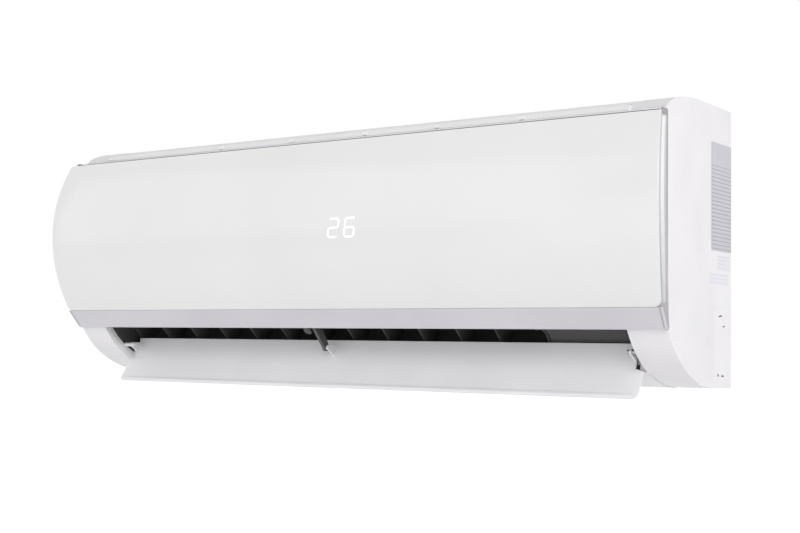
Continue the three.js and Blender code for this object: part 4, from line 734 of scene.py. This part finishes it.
def display_figures():
    """Lit figures that shine through the panel: a thin skin on its surface."""
    middle_x = (DISPLAY[0].x + DISPLAY[1].x) / 2
    middle_z = (DISPLAY[0].z + DISPLAY[1].z) / 2 + FIGURE_RISE
    shape = Shape()
    for index, keys in enumerate(FIGURES):
        centre = middle_x + (index - 0.5) * FIGURE_STEP
        for key in keys:
            ends = [
                np.array([(u - 0.5) * FIGURE_WIDE, (v - 1) * FIGURE_TALL / 2])
                for u, v in SEGMENTS[key]
            ]
            places = [(centre + u + SLANT * v, middle_z + v) for u, v in stroke(*ends)]
            shape.loft([[(x, panel_y(z) - out, z) for x, z in places] for out in FIGURE_SKIN])
    shape.done("display_figures", DIGITS, "panel", "panel_white")


# --- trim around the panel ---
def trim_front(z):
    """Front of the silver frame at a height: behind the panel, clear of its turning top edge."""
    crest = PANEL_FOOT - CREST_GAP
    if z <= crest:
        share = (z - TRIM[0].z) / (crest - TRIM[0].z)
        return TRIM_LOW + share * (panel_y(PANEL_FOOT) - TRIM_LOW)
    behind = panel_y(max(z, PANEL_FOOT)) + PANEL_WALL + TRIM_GAP
    if z <= ROLL_UNDER:
        return behind
    rise = z - HINGE[1]
    return max(behind, HINGE[0] - math.sqrt(max(0, SWING**2 - rise**2)))


def trim_levels():
    """Heights of the side bands' sections, closer at the rounded foot and the hinge."""
    foot, top = TRIM[0].z, HINGE[1] + 6
    turn = foot + FOOT_ROUND * (1 - np.cos(np.linspace(0, math.pi / 2, 7)))
    return np.concatenate([
        turn, np.linspace(foot + FOOT_ROUND + 1, PANEL_FOOT - CREST_GAP, 8),
        np.linspace(PANEL_FOOT, ROLL_UNDER, 70),
        np.linspace(ROLL_UNDER + 0.2, top, 12),
    ])


def band_axes(z):
    """Back edge of a side band at a height, its ways forward and outward, and its depth."""
    lap = FOOT_LAP * max(0, 1 - (z / APEX) ** 2)
    back = np.array([CASE_HALF + 0.15, TRIM[1].y + lap])
    flare = min((z - TRIM[0].z) / (PANEL_FOOT - TRIM[0].z), 1)
    edge = CASE_HALF + flare * (PANEL_HALF - CASE_HALF)
    if z > PANEL_FOOT:
        edge = panel_half(z) - 1
    run = np.array([edge, trim_front(z)]) - back
    depth = np.linalg.norm(run)
    run = run / depth
    return back, run, np.array([-run[1], run[0]]), depth


def band_lines(z, depth):
    """Sections of the seam, the band and the bead at a height, as (forward, outward) points."""
    above = z - TRIM[0].z
    start = SEAM_START
    if above < FOOT_ROUND:
        start += FOOT_ROUND - math.sqrt(FOOT_ROUND**2 - (FOOT_ROUND - above) ** 2)
    dark = start + SEAM_SHARE * depth
    low, high = BEAD[0] * depth, BEAD[1] * depth
    middle, reach = (low + high) / 2, (high - low) / 2
    swell = min(max((z - PANEL_FOOT - 4) / 26, 0), 1)
    seam = [(start, -1.6), (start, -0.5), (dark, -0.9), (dark, -1.6)]
    band = [
        (dark, -2.2), (dark, -0.7), (dark + 0.05 * depth, 0.0), (0.38 * depth, 0.1),
        (low, -0.2), (high, -0.2), (0.9 * depth, -0.3), (depth - 0.4, 0.0),
        (depth, -0.5), (depth, -2.2),
    ]
    bead = [
        (middle + reach * math.cos(a), -0.35 + (0.25 + 1.35 * swell) * math.sin(a))
        for a in np.linspace(math.pi, 0, 13)
    ] + [(middle + reach, -1.2), (middle - reach, -1.2)]
    return seam, band, bead


def trim_sides():
    """Side bands: a seam at the casing painted dark as shadow, satin silver painted darker at its
    foot as shade, a bead painted white as a highlight, and a cap on top painted dark as shadow.
    """
    for side, word in SIDES:
        seam, band, bead = [], [], []
        for z in trim_levels():
            back, run, out, depth = band_axes(z)
            for line, rings in zip(band_lines(z, depth), (seam, band, bead)):
                flat = [back + run * t + out * n for t, n in line]
                rings.append([(side * p[0], p[1], z) for p in flat])
        low = [ring for ring in band if ring[0][2] <= ROLL_UNDER]
        high = [ring for ring in band if ring[0][2] > ROLL_UNDER]
        bead = [ring for ring in bead if PANEL_FOOT + 3 < ring[0][2] < ROLL_UNDER]
        for part, rings, finish in (
            # seam and cap painted dark as shadow, bead painted white as a highlight, band painted
            # darker at its foot as shade
            ("band", low, BAND_SILVER_PAINTED_SHADE), ("seam", seam, PAINTED_SHADOW_GREY),
            ("bead", bead, BEAD_PAINTED_HIGHLIGHT), ("cap", high, PAINTED_SHADOW_GREY),
        ):
            nodes = ("trim_frame",) if (part, word) == ("band", "right") else ()
            Shape().loft(rings).done(
                f"trim_{part}_{word}", finish, "frame", "trim_silver", nodes, 50,
            )


def trim_foot():
    """Silver strip under the panel, with rounded outer corners, and the lip behind its crest."""
    foot, crest = TRIM[0].z, PANEL_FOOT - CREST_GAP
    path = [(trim_front(z), z) for z in np.linspace(foot, crest, 24)]
    points, faces = curved_sheet(
        path, lambda s: CASE_HALF + STRIP_OUT + STRIP_FLARE * s, STRIP_WALL, (3.2, 0.4), 0.5, 16,
    )
    make("trim_strip", points, faces, SILVER, "frame")
    half, reach = CASE_HALF - 2, CASE_HALF + 1
    lip = Shape().block((-half, TRIM_LOW + 0.6, foot + 1), (half, TRIM_LOW + 3.6, foot + 6))
    rear = panel_y(PANEL_FOOT) + PANEL_WALL + 0.4
    lip.prism(
        [(rear - 2, crest - 1), (rear + 2, crest - 1), (rear + 1.2, crest + 9), (rear, crest + 9)],
        -reach, reach,
    )
    lip.done("trim_strip_lip", SILVER, "frame", "trim_silver")


# --- grille on top ---
def brow_line():
    """Rounded front of the casing's top, from its lower end up."""
    return bezier(BROW, 60)[::-1]


def grille_path():
    """Upper face of the grille, from its front edge back."""
    curve = [tuple(p) for p in brow_line() if p[0] > GRILLE[0].y + 1.2]
    flat = [(y, CASE_TOP) for y in np.linspace(-76, GRILLE[1].y - 1.2, 6)]
    return [(y, z - 0.1) for y, z in curve + flat]


def grille_bars():
    """Close cross bars that follow the curve of the top."""
    path, bars = grille_path(), Shape()
    for x in BAR_PLACES:
        bars.strip(path, -2.6, x - BAR_HALF, x + BAR_HALF)
    bars.done("grille_bars", GRILLE_WHITE, "frame", "casing_white", ("top_intake_grille",), 50)


def brow():
    """Skin between the grille and the panel, ribbed like the grille, and its plain ends in a
    darker grey: painted shade.
    """
    front = [(y, z - 0.75) for y, z in grille_path() if y < -126]
    line = brow_line()
    face = [tuple(p) for p in line if p[0] < GRILLE[0].y + 1.6]
    skin = Shape().strip(front, -1.2, -GRILLE_HALF, GRILLE_HALF)
    skin.strip(face, 0.2, -GRILLE_HALF, GRILLE_HALF)
    for x in BAR_PLACES:
        skin.strip(face, 0.5, x - BAR_HALF, x + BAR_HALF)
    skin.done("grille_brow", GRILLE_WHITE, "frame", "casing_white", (), 50)
    # plain ends of the brow in a darker grey: painted shade where the top curves away
    ends = Shape()
    for side in (-1, 1):
        ends.strip(line[:-8], 0.2, *between(side, GRILLE_HALF + 4.5, CASE_HALF - 2.2))
    ends.done("brow_ends", BROW_PAINTED_SHADE, "frame", "casing_white", (), 50)


def grille_rails():
    """Long bars under the cross bars, and five deeper ribs."""
    path = np.array(grille_path())
    along = distances(path)
    rails = Shape()
    for s in np.linspace(0, along[-1], 8):
        y, z = point_at(path, along, s)
        y = min(max(y, GRILLE[0].y + 2.2), GRILLE[1].y - 2.2)
        rails.block((GRILLE[0].x + 0.3, y - 1.3, z - 4.6), (GRILLE[1].x - 0.3, y + 1.3, z - 1.2))
    for x in np.linspace(-GRILLE_HALF - 1.6, GRILLE_HALF + 1.6, 5):
        rails.strip(path, -4.6, x - 1.4, x + 1.4)
    rails.done("grille_rails", GRILLE_WHITE, "frame", "casing_white", (), 50)


# --- louver ---
def louver_path():
    """Outer face of the flap, from its free edge to its crown."""
    bow = [(LOUVER_TIP[i] + LOUVER_CROWN[i]) / 2 + 2 * LOUVER_BOW[i] for i in (0, 1)]
    return bezier([LOUVER_TIP, bow, LOUVER_CROWN], 60) + np.array(LOUVER_PIVOT)


def louver_blade():
    """Curved flap, narrower towards its crown."""
    path = louver_path()
    along = distances(path)

    def half_at(s):
        height = np.interp(s, along, path[:, 1]) - LOUVER_PIVOT[1]
        share = min(max((height - NOTCH_FOOT) / NOTCH_RISE, 0), 1)
        return LOUVER_HALF - LOUVER_NOTCH * share * share * (3 - 2 * share)

    points, faces = curved_sheet(path, half_at, LOUVER_WALL, (6.0, 2.0), 0.7, 90)
    make("louver_blade", points, faces, LOUVER_WHITE, "louver", ("louver",))


def louver_lip():
    """Raised lip along the flap's free edge, thinner at its two ends."""
    path = louver_path()
    out = normals(path)[0]
    start = path[0] + out * 0.05
    ahead = (path[4] - path[0]) / np.linalg.norm(path[4] - path[0])
    end, inner = LOUVER_HALF - 5.5, LOUVER_HALF - 7
    rings = []
    for x in (-end, *np.linspace(-inner, inner, 20), end):
        thin = 1.0 if abs(x) < end else 0.4
        rings.append([(x, *(start + ahead * t + out * n * thin)) for t, n in LIP_PROFILE])
    Shape().loft(rings).done("louver_lip", LOUVER_WHITE, "louver", "louver_white", (), 60)


def louver_ears():
    """Arms from the flap to its pivots, and the pin through the middle support."""
    path = louver_path()
    side = normals(path)
    outline = [
        (LOUVER_PIVOT[0] + EAR_RADIUS * math.cos(a), LOUVER_PIVOT[1] + EAR_RADIUS * math.sin(a))
        for a in np.radians(np.linspace(100, 260, 24))
    ] + [tuple(path[i] - side[i]) for i in (41, 54)]
    ears = Shape()
    for x in (-LOUVER_NARROW, LOUVER_NARROW - EAR, SUPPORT[1].x + 0.8):
        ears.prism(outline, x, x + EAR)
    ears.rod(SUPPORT[0].x - 1.5, SUPPORT[1].x + 2, LOUVER_PIVOT, 1.9, 16)
    ears.done("louver_ears", LOUVER_WHITE, "louver", "louver_white", (), 40)


# --- small things on the casing ---
def knockout():
    """Blank over the pipe exit in the right side, with its scored line."""
    low, high = box_mm("knockout_cover")
    lap = Vector((0, KNOCKOUT_LAP, KNOCKOUT_LAP))
    low, high = low - lap, high + lap
    centre = (low.y + KNOCKOUT_CORNER, high.z - KNOCKOUT_CORNER)
    turn = [
        (centre[0] - KNOCKOUT_CORNER * math.cos(a), centre[1] + KNOCKOUT_CORNER * math.sin(a))
        for a in np.linspace(0, math.pi / 2, 12)
    ]
    outline = [(low.y, low.z), *turn, (high.y, high.z), (high.y, low.z)]
    Shape().prism(outline, CASE_HALF - 2.2, CASE_HALF + 0.05).done(
        "knockout_skin", WHITE, "frame", "casing_white", ("knockout_cover",),
    )
    inner = [(y + 0.35, z - 0.1) for y, z in [(low.y, low.z + 1), *turn, (high.y - 1, high.z)]]
    score = Shape().strip(inner, 0.28, CASE_HALF - 0.2, CASE_HALF + 0.07)
    score.done("knockout_score", SCORE_GREY, "frame", "casing_white")


def side_marks():
    """Slots and plain patches of the right side."""
    slots, patches = Shape(), Shape()
    for y, z, wide, tall, lean in SIDE_SLOTS:
        slots.prism([
            (y - wide / 2, z - tall / 2 - lean / 2), (y + wide / 2, z - tall / 2 + lean / 2),
            (y + wide / 2, z + tall / 2 + lean / 2), (y - wide / 2, z + tall / 2 - lean / 2),
        ], CASE_HALF - 0.6, CASE_HALF + 0.09)
    slots.done("side_slots", BLACK, "frame", "black_abs")
    for low, high in SIDE_PATCHES:
        patches.block((CASE_HALF - 0.3, *low), (CASE_HALF + 0.1, *high))
    patches.done("side_patches", PATCH, "frame", "label_grey")


def duct_liners():
    """Dark inner faces of the outlet's two ends, behind a pale margin along its edge whose front
    strip is painted bright as light.
    """
    edge = bezier(CHEEK, 30)
    inner = [tuple(p) for p in edge + normals(edge) * LINER_MARGIN if p[0] < DUCT_BACK]
    outline = [*inner, (DUCT_BACK, DUCT_ROOF), (inner[0][0], DUCT_ROOF)]
    front = [tuple(p) for p in edge if p[0] < -100]
    for side, word in SIDES:
        liner = Shape().prism(outline, *between(side, DUCT_END - 0.25, DUCT_END))
        liner.done(f"duct_liner_{word}", BLACK, "frame", "black_abs")
        # strip in brightened white: painted light on the cheek's inner edge
        rim = Shape().strip(front, RIM, *between(side, DUCT_END - 0.35, DUCT_END + 0.2))
        rim.done(f"duct_rim_painted_light_{word}", PAINTED_LIGHT_WHITE, "frame", "casing_white")


def foot_lip():
    """White skin round the duct's floor from underneath, with a web and a block at each end."""
    nose = [(-111.4, 18.0), (-112.6, 17.9), (-113.5, 16.6)]
    path = nose + [tuple(p) for p in bezier(CHEEK, 60) if p[0] > -112.5]
    outer, inner = [[tuple(p) for p in path - normals(path) * away] for away in (0.45, 0.05)]
    end = DUCT_END + 0.5
    lip = Shape().prism(outer + inner[::-1], -end, end)
    web = [(-112.0, 16.0), (-105.0, 13.0), (-100.0, 24.0), (-104.0, 38.0), (-110.5, 38.0)]
    block = [(-107.5, 13.0), (-101.0, 12.0), (-101.0, 38.0), (-107.5, 38.0)]
    for side in (-1, 1):
        lip.prism(web, *between(side, LOUVER_HALF - 8.5, end))
        lip.prism(block, *between(side, LOUVER_HALF - 13, LOUVER_HALF - 7.5))
    pad = [(-92.3, 9.0), (-92.3, 0.9), (-71.7, 0.9), (-71.7, 3.2)]  # under the chassis' last rib
    lip.prism(pad, 285.4, 311.8)
    lip.done("foot_lip", WHITE, "frame", "casing_white")


def brow_tabs():
    """Small catches of the grille that stand on the front of the top, in a brightened white:
    painted light.
    """
    tabs = Shape()
    for x in BROW_TABS:
        tabs.block((x - 2.6, -165.9, CASE_TOP - 18.0), (x + 2.6, -160, CASE_TOP - 14.4))
    # brightened white: painted light on the catches
    tabs.done("brow_tabs", PAINTED_LIGHT_WHITE, "frame", "casing_white")


# --- fan, coil and filters ---
def fan_blades():
    """Curved blades in bays, each bay turned a little."""
    section = bezier(
        [(FAN_RADIUS - 12.5, 0), (FAN_RADIUS - 7.5, 0.8), (FAN_RADIUS - 1.0, 7.2)], 7,
    )
    side = normals(section) * 0.45
    outline = np.concatenate([section + side, (section - side)[::-1]])
    wheel = Shape()
    for bay in range(FAN_BAYS):
        start = FAN[0].x + bay * BAY + FAN_DISC / 2
        for k in range(FAN_BLADES):
            a = (k + 0.31 * bay) * 2 * math.pi / FAN_BLADES
            spin = np.array([[math.cos(a), -math.sin(a)], [math.sin(a), math.cos(a)]])
            wheel.prism((outline @ spin.T + FAN_CENTRE).tolist(), start, start + BAY)
    wheel.done("fan_blades", BLACK, "fan_rotor", "black_abs", ("crossflow_fan",), 40)


def fan_discs():
    """Thin rings between the bays, and an end disc round each shaft."""
    discs = Shape()
    for bay in range(FAN_BAYS + 1):
        x0 = FAN[0].x + bay * BAY
        x1 = x0 + FAN_DISC
        hole = SHAFT_HOLE if bay in (0, FAN_BAYS) else FAN_RADIUS - 13.5
        rings = []
        for a in np.linspace(0, 2 * math.pi, 72, endpoint=False):
            rings.append([
                (x, FAN_CENTRE[0] + r * math.cos(a), FAN_CENTRE[1] + r * math.sin(a))
                for x, r in ((x0, hole), (x0, FAN_RADIUS), (x1, FAN_RADIUS), (x1, hole))
            ])
        discs.loft(rings, closed=True)
    discs.done("fan_discs", BLACK, "fan_rotor", "black_abs", (), 40)


def coils():
    """Stacks of thin fins, and two rows of tubes through each."""
    low, high = box_mm("coil_rear")
    places = np.linspace(low.x, high.x - FIN, int((high.x - low.x) / FIN_PITCH))
    for node, ends in COIL.items():
        start, end = np.array(ends, float)
        length = np.linalg.norm(end - start)
        ahead = (end - start) / length
        out = np.array([-ahead[1], ahead[0]]) * COIL_THICK
        stack, tubes = Shape(), Shape()
        for x in places:
            stack.prism([start, end, end + out, start + out], x, x + FIN)
        stack.done(f"{node}_fins", FINS, "frame", "fin_aluminium", (node,), 30)
        rows = int((length - 4) // TUBE_PITCH)
        spare = (length - TUBE_PITCH * (rows - 1)) / 2
        for k in range(rows):
            for share in (0.25, 0.75):
                centre = start + ahead * (spare + TUBE_PITCH * k) + out * share
                tubes.rod(low.x, high.x, centre, TUBE_RADIUS, 10)
        tubes.done(f"{node}_tubes", COPPER, "frame", "copper_tube")


def filter_path():
    """Outer face of the filters, from the foot up and back over the coil."""
    parts = [
        [(-178.4, 101), (-178.4, 204)],
        bezier([(-178.4, 204), (-178.4, 211), (-173, 217)], 6)[1:],
        bezier([(-173, 217), (-150, 243), (-125, 273.2)], 10)[1:],
        bezier([(-125, 273.2), (-118, 281.2), (-110, 281.8)], 5)[1:],
        [(-62, 285.2)],
    ]
    return np.array([tuple(p) for part in parts for p in part], float)


def filters():
    """Fine woven mesh in each filter's frame."""
    path = filter_path()
    along, side = distances(path), normals(path)
    for node in ("filter_left", "filter_right"):
        low, high = box_mm(node)
        mesh = Shape()
        for x in np.arange(low.x + WEAVE, high.x - WEAVE, WEAVE):
            mesh.strip(path, -THREAD, x, x + THREAD)
        for s in np.arange(WEAVE, along[-1] - WEAVE, WEAVE):
            n = point_at(side, along, s)
            t = np.array([n[1], -n[0]]) * THREAD
            a = point_at(path, along, s) - n * 0.1
            n = n * THREAD
            mesh.prism([a, a + t, a + t - n, a - n], low.x + 1, high.x - 1)
        mesh.done(f"{node}_mesh", MESH, "frame", "filter_mesh", (), 30)


# --- stage, light and camera ---
FLOOR_HALF, FLOOR_LEVEL = 40.0, -0.75  # metres
FLOOR_COLOUR, FLOOR_LIFT = 0.8, 0.5
ROOM_LIGHT = 0.76
LAMPS = (  # name, place, aim and size in metres, watts
    ("lamp_key", (2.1, -2.9, 1.6), (0, -0.1, 0), 1.3, 32),
    ("lamp_left", (-2.6, -3.0, 1.2), (0, 0, 0), 2.6, 12),
    ("lamp_right", (3.5, -0.2, 0.4), (0.3, -0.1, 0), 2.2, 14),
    ("lamp_low", (-0.2, -3.4, -0.6), (0, 0, -0.1), 2.6, 11),
)
EYE = (0.96955, -1.39301, -0.11414)  # metres
YAW, PITCH, ROLL = math.radians(35.326), math.radians(3.540), math.radians(0.9037)
FOCAL, FRAME_WIDE = 1341.34, 800  # focal length and width of the picture, in its pixels


def shown_ray(tree):
    """1 for rays that show a surface directly, in a mirror or through glass."""
    path = tree.nodes.new("ShaderNodeLightPath")
    total = path.outputs["Is Camera Ray"]
    for kind in ("Is Glossy Ray", "Is Transmission Ray"):
        most = tree.nodes.new("ShaderNodeMath")
        most.operation = "MAXIMUM"
        tree.links.new(total, most.inputs[0])
        tree.links.new(path.outputs[kind], most.inputs[1])
        total = most.outputs[0]
    return total


def stage():
    """Pale floor below the part; it looks white where no shadow falls."""
    mesh = bpy.data.meshes.new("floor")
    turns = ((-1, -1), (1, -1), (1, 1), (-1, 1))
    corners = [(u * FLOOR_HALF, v * FLOOR_HALF, FLOOR_LEVEL) for u, v in turns]
    mesh.from_pydata(corners, [], [(0, 1, 2, 3)])
    floor = bpy.data.objects.new("floor", mesh)
    bpy.context.scene.collection.objects.link(floor)
    material = bpy.data.materials.new("floor")
    material.use_nodes = True
    tree = material.node_tree
    tree.nodes.clear()
    out = tree.nodes.new("ShaderNodeOutputMaterial")
    diffuse = tree.nodes.new("ShaderNodeBsdfDiffuse")
    diffuse.inputs["Color"].default_value = (FLOOR_COLOUR, FLOOR_COLOUR, FLOOR_COLOUR, 1)
    lift = tree.nodes.new("ShaderNodeEmission")
    total = tree.nodes.new("ShaderNodeAddShader")
    scale = tree.nodes.new("ShaderNodeMath")
    scale.operation = "MULTIPLY"
    scale.inputs[1].default_value = FLOOR_LIFT
    tree.links.new(shown_ray(tree), scale.inputs[0])
    tree.links.new(scale.outputs[0], lift.inputs["Strength"])
    tree.links.new(diffuse.outputs[0], total.inputs[0])
    tree.links.new(lift.outputs[0], total.inputs[1])
    tree.links.new(total.outputs[0], out.inputs[0])
    mesh.materials.append(material)


def world():
    """Even white room: a plain level on the part, pure white where it shows."""
    scene = bpy.context.scene
    scene.world = bpy.data.worlds.new("studio")
    scene.world.use_nodes = True
    tree = scene.world.node_tree
    tree.nodes.clear()
    out = tree.nodes.new("ShaderNodeOutputWorld")
    mix = tree.nodes.new("ShaderNodeMixShader")
    tree.links.new(shown_ray(tree), mix.inputs[0])
    for socket, strength in ((mix.inputs[1], ROOM_LIGHT), (mix.inputs[2], 1)):
        room = tree.nodes.new("ShaderNodeBackground")
        room.inputs["Color"].default_value = (1, 1, 1, 1)
        room.inputs["Strength"].default_value = strength
        tree.links.new(room.outputs[0], socket)
    tree.links.new(mix.outputs[0], out.inputs[0])
    scene.view_settings.view_transform = "Standard"


def lamp(name, place, aim, size, power):
    """Square area lamp turned towards a point."""
    light = bpy.data.lights.new(name, "AREA")
    light.shape = "SQUARE"
    light.size = size
    light.energy = power
    thing = bpy.data.objects.new(name, light)
    thing.location = place
    thing.rotation_euler = (Vector(aim) - Vector(place)).to_track_quat("-Z", "Y").to_euler()
    bpy.context.scene.collection.objects.link(thing)


def camera():
    """Stands to the right, low, turned left and a little up."""
    ahead = Vector((
        -math.sin(YAW) * math.cos(PITCH), math.cos(YAW) * math.cos(PITCH), math.sin(PITCH),
    ))
    level = Vector((math.cos(YAW), math.sin(YAW), 0))
    upright = level.cross(ahead)
    right = math.cos(ROLL) * level + math.sin(ROLL) * upright
    up = math.cos(ROLL) * upright - math.sin(ROLL) * level
    lens = bpy.data.cameras.new("camera")
    lens.sensor_width = 36
    lens.lens = FOCAL / FRAME_WIDE * lens.sensor_width
    lens.clip_end = 200
    eye = bpy.data.objects.new("camera", lens)
    eye.matrix_world = Matrix((
        *((right[i], up[i], -ahead[i], EYE[i]) for i in range(3)), (0, 0, 0, 1),
    ))
    bpy.context.scene.collection.objects.link(eye)
    bpy.context.scene.camera = eye


dress_nodes()
front_panel()
display_figures()
trim_sides()
trim_foot()
grille_bars()
brow()
grille_rails()
louver_blade()
louver_lip()
louver_ears()
knockout()
side_marks()
duct_liners()
foot_lip()
brow_tabs()
fan_blades()
fan_discs()
coils()
filters()
stage()
world()
for row in LAMPS:
    lamp(*row)
camera()

bpy.context.view_layer.update()
